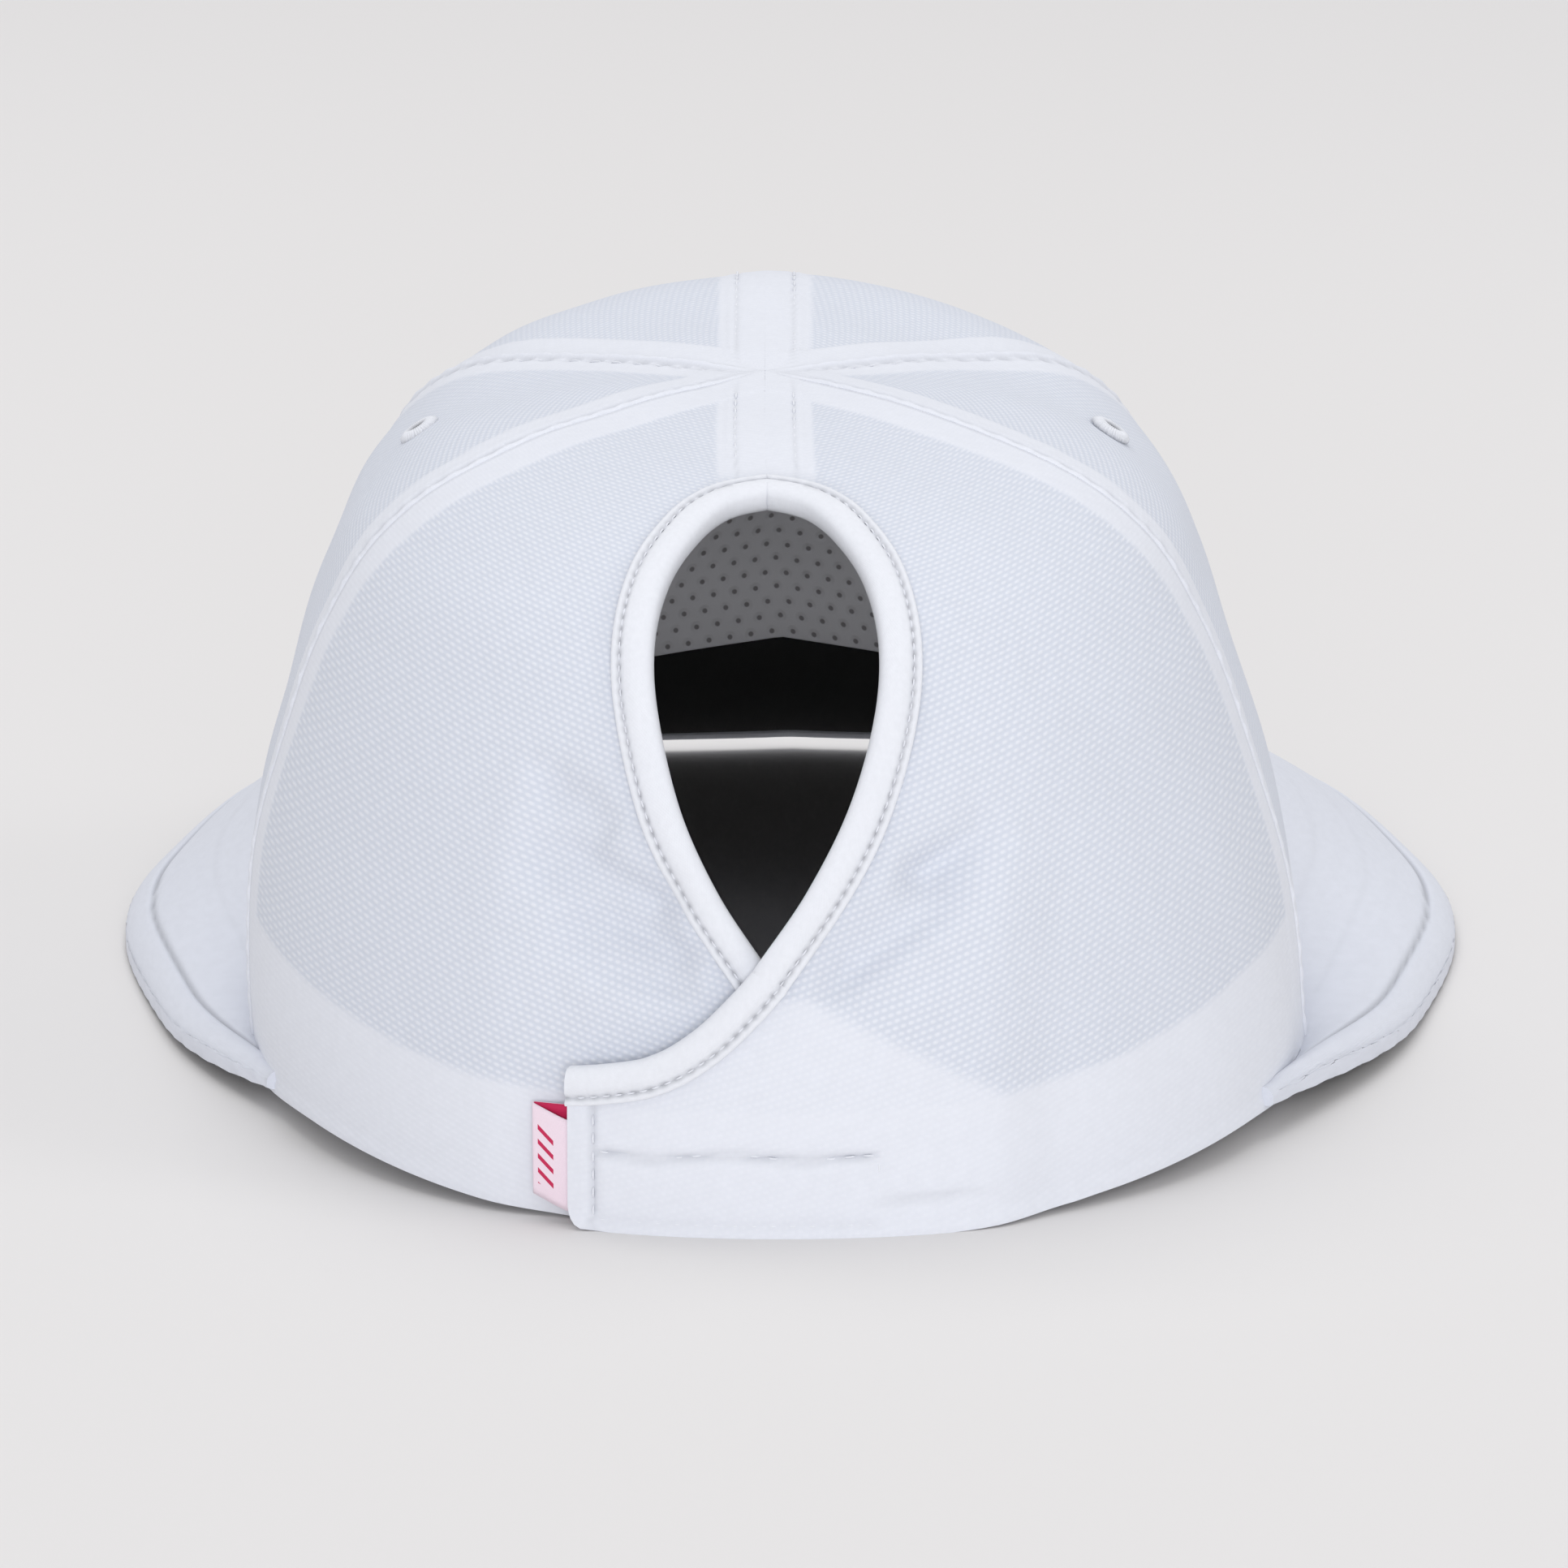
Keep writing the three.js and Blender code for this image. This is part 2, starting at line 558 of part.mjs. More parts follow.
function peakPoint(around, outward, above) {
  const along = Math.abs(around);
  const side = Math.sign(around) || 1;
  const cornerTurn = side > 0 ? leftCornerTurn : rightCornerTurn;
  const turn = side * (Math.PI - along * (Math.PI - cornerTurn));
  const away = outwards(turn, 0);
  const root = smoothPoint(turn, 0).addScaledVector(away, peakRootGap);
  root.z += peakSeat;
  const nearCorner = clamp01((along - peakCornerFrom) / (1 - peakCornerFrom));
  const edge = new THREE.Vector3(
    (side * lookUp(PEAK_EDGE, "along", "out", along) * peakWidth) / 2 + peakAside,
    peakCornerBack - lookUp(PEAK_EDGE, "along", "ahead", along) * (peakFront + peakCornerBack),
    Math.max(0, lookUp(PEAK_EDGE, "along", "lift", along)) * peakTipLift + root.z * nearCorner ** 2,
  );
  const corner = root.clone().addScaledVector(away, peakCornerWidth);
  edge.lerp(corner, nearCorner ** 8);
  const length = Math.hypot(edge.x - root.x, edge.y - root.y) / (peakFront - frontReach);
  const point = root.lerp(edge, outward);
  point.z += above + peakCamber * Math.min(1, length) * 4 * outward * (1 - outward);
  return point;
}

function blade(bottom, wall) {
  const around = steps(PEAK_STEPS.around, -1, 1);
  return clothSolid(around, steps(PEAK_STEPS.outward), (share, outward, face) =>
    peakPoint(share, outward, bottom + (1 - face) * wall),
  );
}

// Eyelet: a sewn ring lying on a side panel
function eyelet() {
  const section = EYELET_SECTION.map(
    ({ across, up }) => new THREE.Vector2(mix(eyeletHole, eyeletRadius, across), up * eyeletWall),
  );
  return new THREE.LatheGeometry(section, EYELET_STEPS);
}

// Materials
const cloth = (color, roughness) => new THREE.MeshStandardMaterial({ color, roughness, metalness: 0 });
const mesh = () => cloth(0xe1e2e9, 0.85);
const smoothCloth = () => cloth(0xebecf0, 0.8);
const tape = () => cloth(0xeef0f5, 0.8);

const cap = new THREE.Group();

function add(name, geometry, material) {
  const piece = new THREE.Mesh(geometry, material);
  piece.name = name;
  cap.add(piece);
  return piece;
}

for (const [hand, side] of Object.entries({ left: 1, right: -1 })) {
  const back = (climb) => seamTurn("back", climb);
  const front = (climb) => seamTurn("front", climb);
  add("front_panel_" + hand, plainPanel(side, front, () => Math.PI), mesh());
  add("side_panel_" + hand, plainPanel(side, back, front), mesh());
  add("seam_tape_front_" + hand, seamTape(side, "front"), tape());
  add("seam_tape_back_" + hand, seamTape(side, "back"), tape());

  const ring = add("eyelet_" + hand, eyelet(), smoothCloth());
  const turn = side * eyeletTurn * degrees;
  const normal = outwards(turn, eyeletClimb);
  ring.position.copy(crownPoint(turn, eyeletClimb, layerGap));
  ring.quaternion.setFromUnitVectors(new THREE.Vector3(0, 1, 0), normal);
}
add("seam_tape_centre", centreTape(), tape());

add("back_panel_left", backPanel(1, leftPanelOut), mesh());
add("back_panel_right", backPanel(-1, tabOut), mesh());
add("opening_binding_left", binding(1, leftPanelOut), smoothCloth());
add("opening_binding_right", binding(-1, tabOut), smoothCloth());
add("sweatband", sweatband(), smoothCloth());

const underTab = tabOut - clothWall - layerGap;
const stripLeft = tabReach - labelSewnIn - 2 * layerGap;
const stripTop = stripFloorGap + stripHeight;
const strip = (out) => backStrip(stripLeft - stripLength, stripLeft, stripFloorGap, stripTop, out, tapeWall);
add("hook_strip", strip(underTab), cloth(0xe6e6e8, 0.95));
add("loop_strip", strip(underTab - tapeWall - layerGap), cloth(0xe9e9ea, 0.95));

const labelTop = labelFloorGap + labelHeight;
const label = backStrip(
  tabReach - labelSewnIn, tabReach + labelShown, labelFloorGap, labelTop, underTab, tapeWall,
);
add("loop_label", label, cloth(0xefd9e4, 0.6));

add("peak_top", blade(peakUnderWall + layerGap, peakTopWall), smoothCloth());
add("peak_underside", blade(0, peakUnderWall), cloth(0x17171a, 0.9));

const middle = new THREE.Box3().setFromObject(cap).getCenter(new THREE.Vector3());
cap.position.set(-middle.x, -middle.y, 0);

export default cap;
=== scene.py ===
import math

import bpy
import numpy as np
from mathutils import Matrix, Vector


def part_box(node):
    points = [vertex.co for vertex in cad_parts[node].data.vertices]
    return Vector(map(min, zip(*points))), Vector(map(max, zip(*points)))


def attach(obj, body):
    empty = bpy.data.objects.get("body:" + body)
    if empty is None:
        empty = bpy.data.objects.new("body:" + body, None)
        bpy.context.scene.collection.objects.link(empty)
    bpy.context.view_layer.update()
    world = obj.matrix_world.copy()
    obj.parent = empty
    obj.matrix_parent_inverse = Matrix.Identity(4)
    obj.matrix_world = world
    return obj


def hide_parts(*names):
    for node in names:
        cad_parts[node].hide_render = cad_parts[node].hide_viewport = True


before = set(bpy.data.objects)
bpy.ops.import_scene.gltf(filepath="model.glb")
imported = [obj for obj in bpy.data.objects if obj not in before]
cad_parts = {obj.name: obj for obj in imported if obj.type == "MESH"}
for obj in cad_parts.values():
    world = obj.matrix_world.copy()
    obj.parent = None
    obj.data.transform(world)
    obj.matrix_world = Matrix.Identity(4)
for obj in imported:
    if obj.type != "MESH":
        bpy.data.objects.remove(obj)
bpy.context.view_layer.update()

# Sizes are in millimetres round the crown's axis, as the pattern was drawn, and turn to metres at the end.
MM = 0.001

# Crown
CROWN_WIDTH, BACK_REACH, FRONT_REACH = 156.0, 97.0, 94.0
RIM_SQUARENESS, FRONT_ROUNDNESS = 2.2, 1.25
CROWN_HEIGHT, FRONT_LIFT, SIDE_LIFT = 102.5, 41.0, 4.0
RIM_ASIDE, RIM_ASIDE_TOP = -2.4, 0.45
SEAM_STRAIGHT = 0.9
CLOTH, TAPE, BAND, LAYER_GAP = 1.2, 1.0, 1.2, 0.3
SEAM_TAPE_WIDTH = 14.0

# Ponytail opening, tab and fastening
OPENING_HALF, CROSSING_HEIGHT, OPENING_TOP = 15.9, 36.5, 95.0
OPENING_SHIFT, CROSSING_SHIFT = -0.4, 0.5
TAB_REACH, UNDER_TAB_REACH, TAB_HEIGHT = 26.4, 29.0, 21.6
TAB_HEM, TAB_CORNER = 3.4, 3.0
OVERLAP_FADE, OVERLAP_HOLD, OVERLAP_LOW, OVERLAP_HIGH = 12.0, 1.0, 1.5, 23.0
BINDING_WIDTH, BINDING_WALL, BINDING_GAP = 5.0, 0.8, 0.5
FOLD_OVER = BINDING_GAP + BINDING_WALL
OVERLAP_STACK = 2 * TAPE + 3 * LAYER_GAP
TAB_OUT = (OVERLAP_STACK + CLOTH) / 2 + LAYER_GAP
UNDER_OUT = TAB_OUT - CLOTH - OVERLAP_STACK
UNDER_PANEL = -(CLOTH + 2 * LAYER_GAP)

# Sweatband, label, eyelets
BAND_HEIGHT, BAND_TAPER, BAND_GROWTH = 25.0, 0.72, 57.0
SIDE_TAPE_TOP = 0.89
EYELET_WALL, EYELET_PUNCH = 1.0, 1.35
EYELET_TURN, EYELET_CLIMB = 91.0, 0.715
LABEL_HEIGHT, LABEL_FLOOR_GAP, LABEL_SHOWN, LABEL_SEWN_IN = 13.3, 3.2, 6.0, 3.0
STRIP_LENGTH, STRIP_HEIGHT, STRIP_FLOOR_GAP = 38.0, 9.8, 1.3

# Peak
PEAK_WIDTH, PEAK_FRONT, PEAK_CORNER_BACK, PEAK_CORNER_SKEW = 207.0, 186.0, 44.0, 5.5
PEAK_CORNER_FROM, PEAK_CORNER_WIDTH = 0.75, 1.2
PEAK_TOP_WALL, PEAK_UNDER_WALL = 1.6, 1.0
PEAK_TIP_LIFT, PEAK_CAMBER, PEAK_SEAT, PEAK_ASIDE, PEAK_ROOT_GAP = 1.6, 5.0, 0.6, -3.8, 0.5
PEAK_WELT = 4.4  # from the peak's edge to the seam that closes its cover
PEAK_SEWN_IN = 0.2  # how far the peak's root reaches in behind the rim
PEAK_TURNED_UNDER = 2.8  # how far the white cover is turned in under the peak's edge

# The crown's axis, from the peak's box in the frame: the peak lies evenly to both sides of its own middle
peak_low, peak_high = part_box("peak_top")
CROWN_AT = np.array([
    (peak_low[0] + peak_high[0]) / 2 / MM - PEAK_ASIDE,
    peak_low[1] / MM + PEAK_FRONT,
    0.0,
])

# climb: back out, back up, side out, side up, front out, front up
CROWN_PROFILE = np.array([
    (0.0, 1.0, 0.0, 1.0, 0.0, 1.0, 0.0),
    (0.125, 1.0, 0.17, 0.998, 0.17, 1.0, 0.2),
    (0.25, 0.985, 0.345, 0.968, 0.35, 0.975, 0.42),
    (0.375, 0.945, 0.515, 0.906, 0.53, 0.92, 0.64),
    (0.5, 0.875, 0.675, 0.84, 0.69, 0.85, 0.85),
    (0.625, 0.76, 0.81, 0.755, 0.83, 0.725, 1.01),
    (0.75, 0.575, 0.905, 0.595, 0.93, 0.52, 1.085),
    (0.875, 0.31, 0.965, 0.32, 0.982, 0.27, 1.05),
    (1.0, 0.0, 1.0, 0.0, 1.0, 0.0, 1.0),
])
# degrees from the back: share of the side lift, share of the front lift
RIM_LIFT = np.array([
    (0, 0, 0), (14, 0, 0), (50, 1, 0), (78, 0.5, 0.01), (105, 0, 0.2), (145, 0, 0.78), (180, 0, 1),
])
# climb: back seam, front seam, in degrees from the back
SEAMS = np.array([(0, 78, 128), (0.25, 74, 127), (0.5, 66, 126), (0.75, 54, 123), (1, 47, 119)])
# up the opening: share of its half width
OPENING_EDGE = np.array([
    (0, 0), (0.14, 0.42), (0.3, 0.76), (0.48, 0.96), (0.62, 0.99), (0.76, 0.87), (0.87, 0.65),
    (0.95, 0.38), (1, 0),
])
# up from the tab's end to the crossing: share of the way past the crossing
TAB_EDGE = np.array([(0, 1), (0.03, 0.9), (0.14, 0.6), (0.4, 0.34), (0.8, 0.1), (1, 0)])
# round from the front to a rear corner: out, ahead, lift
PEAK_EDGE = np.array([
    (0, 0, 1, 1), (0.2, 0.45, 0.965, 1), (0.4, 0.81, 0.84, 0.85), (0.6, 0.975, 0.608, 0.3),
    (0.75, 1, 0.44, 0), (0.87, 0.922, 0.243, 0), (0.94, 0.845, 0.126, 0), (1, 0.702, 0, 0),
])
# The soft folds that fan out from the opening's lower end: from and to as shares of half the crown's
# width and of its height, then their depth and width in mm
FOLDS = [
    (0.42, 0.6, 0.26, 0.52, 0.9, 4.0),
    (0.46, 0.52, 0.13, 0.41, 1.5, 4.5),
    (0.4, 0.42, 0.1, 0.35, 1.3, 4.0),
    (-0.08, 0.33, -0.4, 0.52, 1.4, 4.5),
    (-0.24, 0.46, -0.44, 0.55, 0.8, 4.0),
]
# Finer creases in the knit beside the crossing, in the same terms
CREASES = [
    (0.4, 0.53, 0.14, 0.43, 0.75, 1.9),
    (0.36, 0.44, 0.1, 0.37, 0.8, 1.7),
    (0.34, 0.36, 0.1, 0.32, 0.6, 1.8),
    (0.44, 0.62, 0.27, 0.56, 0.5, 2.0),
    (-0.07, 0.31, -0.34, 0.45, 0.8, 1.8),
    (-0.14, 0.3, -0.4, 0.4, 0.45, 2.0),
    (-0.22, 0.47, -0.42, 0.53, 0.55, 1.8),
]
FOLD_PRESS, CREASE_PRESS = 2.3, 1.5  # times the depths above


def mix(a, b, share):
    return a + (b - a) * share


def ease(v):
    v = np.clip(v, 0, 1)
    return v * v * (3 - 2 * v)


def bump_at(distance, width):
    return np.exp(-((distance / width) ** 2))


def look_up(table, column, at):
    """A smooth value between a table's rows, by a cubic through each row and its neighbours."""
    across, value = table[:, 0], table[:, column]
    last = len(across) - 1
    ahead, behind = np.minimum(np.arange(last + 1) + 1, last), np.maximum(np.arange(last + 1) - 1, 0)
    slope = (value[ahead] - value[behind]) / (across[ahead] - across[behind])
    i = np.clip(np.searchsorted(across, at, side="left") - 1, 0, last - 1)
    span = across[i + 1] - across[i]
    t = np.clip((at - across[i]) / span, 0, 1)
    line = mix(value[i], value[i + 1], ease(t))
    return line + t * (1 - t) * span * ((1 - t) * slope[i] - t * slope[i + 1])


def rim_reach(turn):
    ahead = np.where(np.cos(turn) < 0, FRONT_REACH, BACK_REACH)
    across = np.abs(np.sin(turn)) / (CROWN_WIDTH / 2)
    along = np.abs(np.cos(turn)) / ahead
    return (across**RIM_SQUARENESS + along**RIM_SQUARENESS) ** (-1 / RIM_SQUARENESS)


def rim_height(turn):
    around = np.degrees(np.abs((turn + np.pi) % (2 * np.pi) - np.pi))
    lift = look_up(RIM_LIFT, 1, around) * SIDE_LIFT + look_up(RIM_LIFT, 2, around) * FRONT_LIFT
    return np.where(around <= RIM_LIFT[1, 0], 0, np.maximum(0, lift))


def profile(turn, climb, column):
    ahead = np.cos(turn) < 0
    side = np.abs(np.sin(turn)) ** np.where(ahead, FRONT_ROUNDNESS, 2.0)
    front, back = look_up(CROWN_PROFILE, 5 + column, climb), look_up(CROWN_PROFILE, 1 + column, climb)
    end = np.where(ahead, front, back)
    return mix(end, look_up(CROWN_PROFILE, 3 + column, climb), side)


def aside(climb):
    return RIM_ASIDE * np.clip(1 - climb / RIM_ASIDE_TOP, 0, 1) ** 2


def smooth_point(turn, climb):
    turn, climb = np.broadcast_arrays(np.asarray(turn, float), np.asarray(climb, float))
    out = rim_reach(turn) * profile(turn, climb, 0)
    base = rim_height(turn)
    up = base + (CROWN_HEIGHT - base) * profile(turn, climb, 1)
    return np.stack([out * np.sin(turn) + aside(climb), out * np.cos(turn), up], -1)


def unit(v):
    return v / np.maximum(np.linalg.norm(v, axis=-1, keepdims=True), 1e-12)


def rising(turn, climb):
    step = 1e-3
    low = np.minimum(np.maximum(0, np.asarray(climb) - step), 1 - 3 * step)
    return unit(smooth_point(turn, low + 2 * step) - smooth_point(turn, low))


def outwards(turn, climb):
    step = 1e-3
    beside = np.minimum(climb, 1 - 2 * step)
    round_ = smooth_point(turn + step, beside) - smooth_point(turn - step, beside)
    normal = -np.cross(round_, rising(turn, climb))
    normal[..., 2] = np.where(np.broadcast_to(climb, normal.shape[:-1]) == 0, 0, normal[..., 2])
    return unit(normal)


def fold_depth(point, folds):
    """How far folds press the cloth in."""
    depth = np.zeros(point.shape[:-1])
    for from_out, from_up, to_out, to_up, deep, wide in folds:
        start = np.array([from_out * CROWN_WIDTH / 2, from_up * CROWN_HEIGHT])
        along = np.array([to_out * CROWN_WIDTH / 2, to_up * CROWN_HEIGHT]) - start
        spot = point[..., [0, 2]] - start
        share = spot @ along / (along @ along)
        off = np.linalg.norm(spot - np.clip(share, 0, 1)[..., None] * along, axis=-1)
        depth += deep * ease(4 * share) * ease(4 * (1 - share)) * bump_at(off, wide)
    return np.where(point[..., 1] < 0, 0, depth)


def crown_point(turn, climb, out):
    point = smooth_point(turn, climb)
    pressed = FOLD_PRESS * fold_depth(point, FOLDS) + CREASE_PRESS * fold_depth(point, CREASES)
    return point + outwards(turn, climb) * (out - pressed)[..., None]


def climb_at(turn, height):
    low, high = np.zeros(np.broadcast(turn, height).shape), np.full(np.broadcast(turn, height).shape, 0.95)
    for _ in range(24):
        middle = (low + high) / 2
        under = smooth_point(turn, middle)[..., 2] < height
        low, high = np.where(under, middle, low), np.where(under, high, middle)
    return low


def turn_for(across, climb):
    return np.arcsin(np.clip((across - aside(climb)) / smooth_point(0.0, climb)[..., 1], -1, 1))


CROSSING_CLIMB = float(climb_at(0.0, CROSSING_HEIGHT))
TOP_CLIMB = float(climb_at(0.0, OPENING_TOP))
TAB_CLIMB = float(climb_at(0.0, TAB_HEIGHT))
LOW_CLIMB = float(climb_at(0.0, CROSSING_HEIGHT + OVERLAP_LOW))
HIGH_CLIMB = float(climb_at(0.0, CROSSING_HEIGHT + OVERLAP_HIGH))
PANEL_TOP = 0.9997
BAND_START = float(turn_for(TAB_REACH + OVERLAP_FADE, 0.0))
BAND_END = 2 * np.pi + float(turn_for(-UNDER_TAB_REACH - OVERLAP_FADE, 0.0))


def overlap_share(turn, climb):
    across = smooth_point(turn, climb)[..., 0]
    past = np.where(across > 0, across - TAB_REACH, -across - UNDER_TAB_REACH)
    beside = 1 - ease((past - OVERLAP_HOLD) / OVERLAP_FADE)
    above = 1 - ease((climb - LOW_CLIMB) / (HIGH_CLIMB - LOW_CLIMB))
    return np.where(np.cos(turn) > 0, beside * above, 0)


def reach_at(turn, climb):
    point = smooth_point(turn, climb)
    return np.maximum(np.hypot(point[..., 0], point[..., 1]), 1e-6)


def shift_spot(turn, climb, direction, length):
    """The spot that lies a length away from another on the crown, in a direction along its surface."""
    step = 1e-3
    here = smooth_point(turn, climb)
    round_ = (smooth_point(turn + step, climb) - here) / step
    rise = (smooth_point(turn, climb + step) - here) / step
    dot = lambda a, b: (a * b).sum(-1)
    rr, uu, ru = dot(round_, round_), dot(rise, rise), dot(round_, rise)
    dr, du = dot(direction, round_) * length, dot(direction, rise) * length
    area = rr * uu - ru * ru
    return turn + (dr * uu - du * ru) / area, climb + (du * rr - dr * ru) / area


# Meshes
def mesh_piece(name, points, faces, material, cloth_mm=None, marks=None):
    """A new piece from points in mm round the crown's axis. cloth_mm holds each point's place on the flat
    cloth. marks are shares, mostly from 0 to 1: backed, where a second layer lies behind the cloth, and
    seam, the painted shade in the groove of a sewn line, up to 2.6 in the eyelet's hole."""
    points = np.asarray(points, float).reshape(-1, 3) + CROWN_AT
    mesh = bpy.data.meshes.new(name)
    mesh.from_pydata((points * MM).tolist(), [], faces)
    mesh.polygons.foreach_set("use_smooth", [True] * len(mesh.polygons))
    if cloth_mm is not None:
        flat = np.zeros((len(points), 3))
        flat[:, :2] = np.asarray(cloth_mm, float).reshape(-1, 2)
        mesh.attributes.new("cloth_mm", "FLOAT_VECTOR", "POINT").data.foreach_set("vector", flat.ravel())
    for mark, shares in (marks or {}).items():
        values = np.asarray(shares, float).ravel()
        mesh.attributes.new(mark, "FLOAT", "POINT").data.foreach_set("value", values)
    mesh.materials.append(material)
    mesh.update()
    piece = bpy.data.objects.new(name, mesh)
    bpy.context.scene.collection.objects.link(piece)
    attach(piece, "root")
    return piece


def face_out(points, faces):
    """The same faces, turned over if they point in."""
    points = np.asarray(points, float).reshape(-1, 3)
    volume = 0.0
    for face in faces:
        a = points[face[0]]
        for k in range(1, len(face) - 1):
            volume += a @ np.cross(points[face[k]], points[face[k + 1]])
    return faces if volume > 0 else [face[::-1] for face in faces]


def shell(outer, inner):
    """Points and faces of a closed cloth from the grids of its outer and inner side."""
    tall, wide = outer.shape[:2]
    points = np.concatenate([outer.reshape(-1, 3), inner.reshape(-1, 3)])
    index = np.arange(tall * wide).reshape(tall, wide)
    back = index + tall * wide
    a, b, c, d = index[:-1, :-1], index[:-1, 1:], index[1:, 1:], index[1:, :-1]
    quads = [np.stack([a, b, c, d], -1).reshape(-1, 4)]
    e, f, g, h = back[:-1, :-1], back[:-1, 1:], back[1:, 1:], back[1:, :-1]
    quads.append(np.stack([e, h, g, f], -1).reshape(-1, 4))
    for line, under, flip in (
        (index[0], back[0], False), (index[-1], back[-1], True),
        (index[:, 0], back[:, 0], True), (index[:, -1], back[:, -1], False),
    ):
        side = [line[:-1], under[:-1], under[1:], line[1:]]
        quads.append(np.stack(side[::-1] if flip else side, -1))
    quads = np.concatenate(quads)
    sample = quads[: (tall - 1) * (wide - 1)]
    p = points[sample]
    normal = np.cross(p[:, 2] - p[:, 0], p[:, 3] - p[:, 1])
    away = p.mean(1) - points[quads[(tall - 1) * (wide - 1) : 2 * (tall - 1) * (wide - 1)]].mean(1)
    if (normal * away).sum() < 0:
        quads = quads[:, ::-1]
    return points, quads.tolist()


def soften(piece, width):
    """Rounds the cut edges of a cloth by a width in mm."""
    bevel = piece.modifiers.new("rounded_edges", "BEVEL")
    bevel.width = width * MM
    bevel.segments = 2
    bevel.limit_method = "ANGLE"
    bevel.angle_limit = math.radians(50)


def both_sides(values):
    return np.concatenate([np.asarray(values, float).reshape(-1, *np.shape(values)[2:])] * 2)


def lengths_along(points, axis):
    """Distance in mm from the first point, along an axis of a grid."""
    gaps = np.linalg.norm(np.diff(points, axis=axis), axis=-1)
    first = np.zeros_like(np.take(gaps, [0], axis=axis))
    return np.concatenate([first, np.cumsum(gaps, axis=axis)], axis=axis)


def close_columns(fine, share, middle):
    """Columns from 0 to 1 that lie closer together within a share of each end."""
    ends = np.linspace(0, share, fine, endpoint=False)
    return np.concatenate([ends, np.linspace(share, 1 - share, middle), (1 - ends)[::-1]])


# Stitches: short rounded lengths of thread, laid along a line on the cloth
def stitches(name, lines, pitch, length, thick):
    """lines is a list of (points, normals) in mm. Each stitch dips into its two needle holes."""
    rings, sides, sunk = 5, 6, 0.1
    points, faces = [], []
    for path, normals in lines:
        path, normals = np.asarray(path, float), np.asarray(normals, float)
        run = np.concatenate([[0], np.cumsum(np.linalg.norm(np.diff(path, axis=0), axis=1))])
        count = int(run[-1] / pitch)
        for k in range(count):
            start = (k + 0.5) * run[-1] / count - length / 2
            share = np.linspace(0, 1, rings)
            at = start + share * length
            centre = np.stack([np.interp(at, run, path[:, c]) for c in range(3)], 1)
            up = unit(np.stack([np.interp(at, run, normals[:, c]) for c in range(3)], 1))
            along = unit(centre[-1] - centre[0])
            across = unit(np.cross(along, up))
            radius = thick / 2 * (1 - (2 * share - 1) ** 4 * 0.75)
            centre = centre + up * ((1 - (2 * share - 1) ** 2) * thick * 0.75 - sunk)[:, None]
            base = len(points)
            for r in range(rings):
                for s in range(sides):
                    angle = 2 * np.pi * s / sides
                    offset = across[r] * np.cos(angle) + up[r] * np.sin(angle)
                    points.append(centre[r] + offset * radius[r])
            for r in range(rings - 1):
                for s in range(sides):
                    t = (s + 1) % sides
                    a, b = base + r * sides, base + (r + 1) * sides
                    faces.append((a + s, a + t, b + t, b + s))
            faces.append(tuple(base + s for s in range(sides))[::-1])
            faces.append(tuple(base + (rings - 1) * sides + s for s in range(sides)))
    mesh_piece(name, points, faces, WHITE_THREAD)


# Materials
MATH = "ShaderNodeMath"


def linear(hex_colour):
    """An sRGB hex colour as linear red, green, blue and alpha."""
    parts = [int(hex_colour[i : i + 2], 16) / 255 for i in (1, 3, 5)]
    return tuple(p / 12.92 if p <= 0.04045 else ((p + 0.055) / 1.055) ** 2.4 for p in parts) + (1.0,)


def node(tree, kind, inputs=(), **settings):
    """Adds one node with its settings. Its inputs come in order, or by number or name, and each is a
    value, another node's output, or another node, which gives its first output."""
    made = tree.nodes.new(kind)
    for key, value in settings.items():
        setattr(made, key, value)
    for key, value in inputs.items() if isinstance(inputs, dict) else enumerate(inputs):
        source = value.outputs[0] if isinstance(value, bpy.types.Node) else value
        if isinstance(source, bpy.types.NodeSocket):
            tree.links.new(source, made.inputs[key])
        else:
            made.inputs[key].default_value = source
    return made


def start_material(name, colour, roughness, sheen=0.0):
    material = bpy.data.materials.new(name)
    material.use_nodes = True
    shader = material.node_tree.nodes["Principled BSDF"]
    shader.inputs["Base Color"].default_value = linear(colour)
    shader.inputs["Roughness"].default_value = roughness
    shader.inputs["IOR"].default_value = 1.5
    shader.inputs["Specular IOR Level"].default_value = 0.25
    shader.inputs["Sheen Weight"].default_value = sheen
    shader.inputs["Sheen Roughness"].default_value = 0.6
    return material, material.node_tree, shader


def wave(tree, length, pitch_mm):
    """The cosine of a length in mm, once round for each pitch."""
    turned = node(tree, MATH, (length, 2 * math.pi / pitch_mm), operation="MULTIPLY")
    return node(tree, MATH, (turned,), operation="COSINE")


def cloth_place(tree):
    """A point's two lengths on the flat cloth, in mm."""
    place = node(tree, "ShaderNodeAttribute", attribute_name="cloth_mm")
    split = node(tree, "ShaderNodeSeparateXYZ", {0: place.outputs["Vector"]})
    return split.outputs[0], split.outputs[1]


def colour_cloth(tree, shader, colour, even, groove):
    """Gives a cloth its colour, scaled by how even it is, with painted shade: darker by the groove's share
    where the seam mark is set, in sewn grooves, needle holes and the eyelet's hole.
    """
    seam = node(tree, "ShaderNodeAttribute", attribute_name="seam").outputs["Fac"]
    lit = node(tree, MATH, (seam, -groove, 1.0), operation="MULTIPLY_ADD")
    kept = node(tree, MATH, (lit, even), operation="MULTIPLY")
    final = node(tree, "ShaderNodeVectorMath", {0: colour, 3: kept}, operation="SCALE")
    tree.links.new(final.outputs[0], shader.inputs["Base Color"])


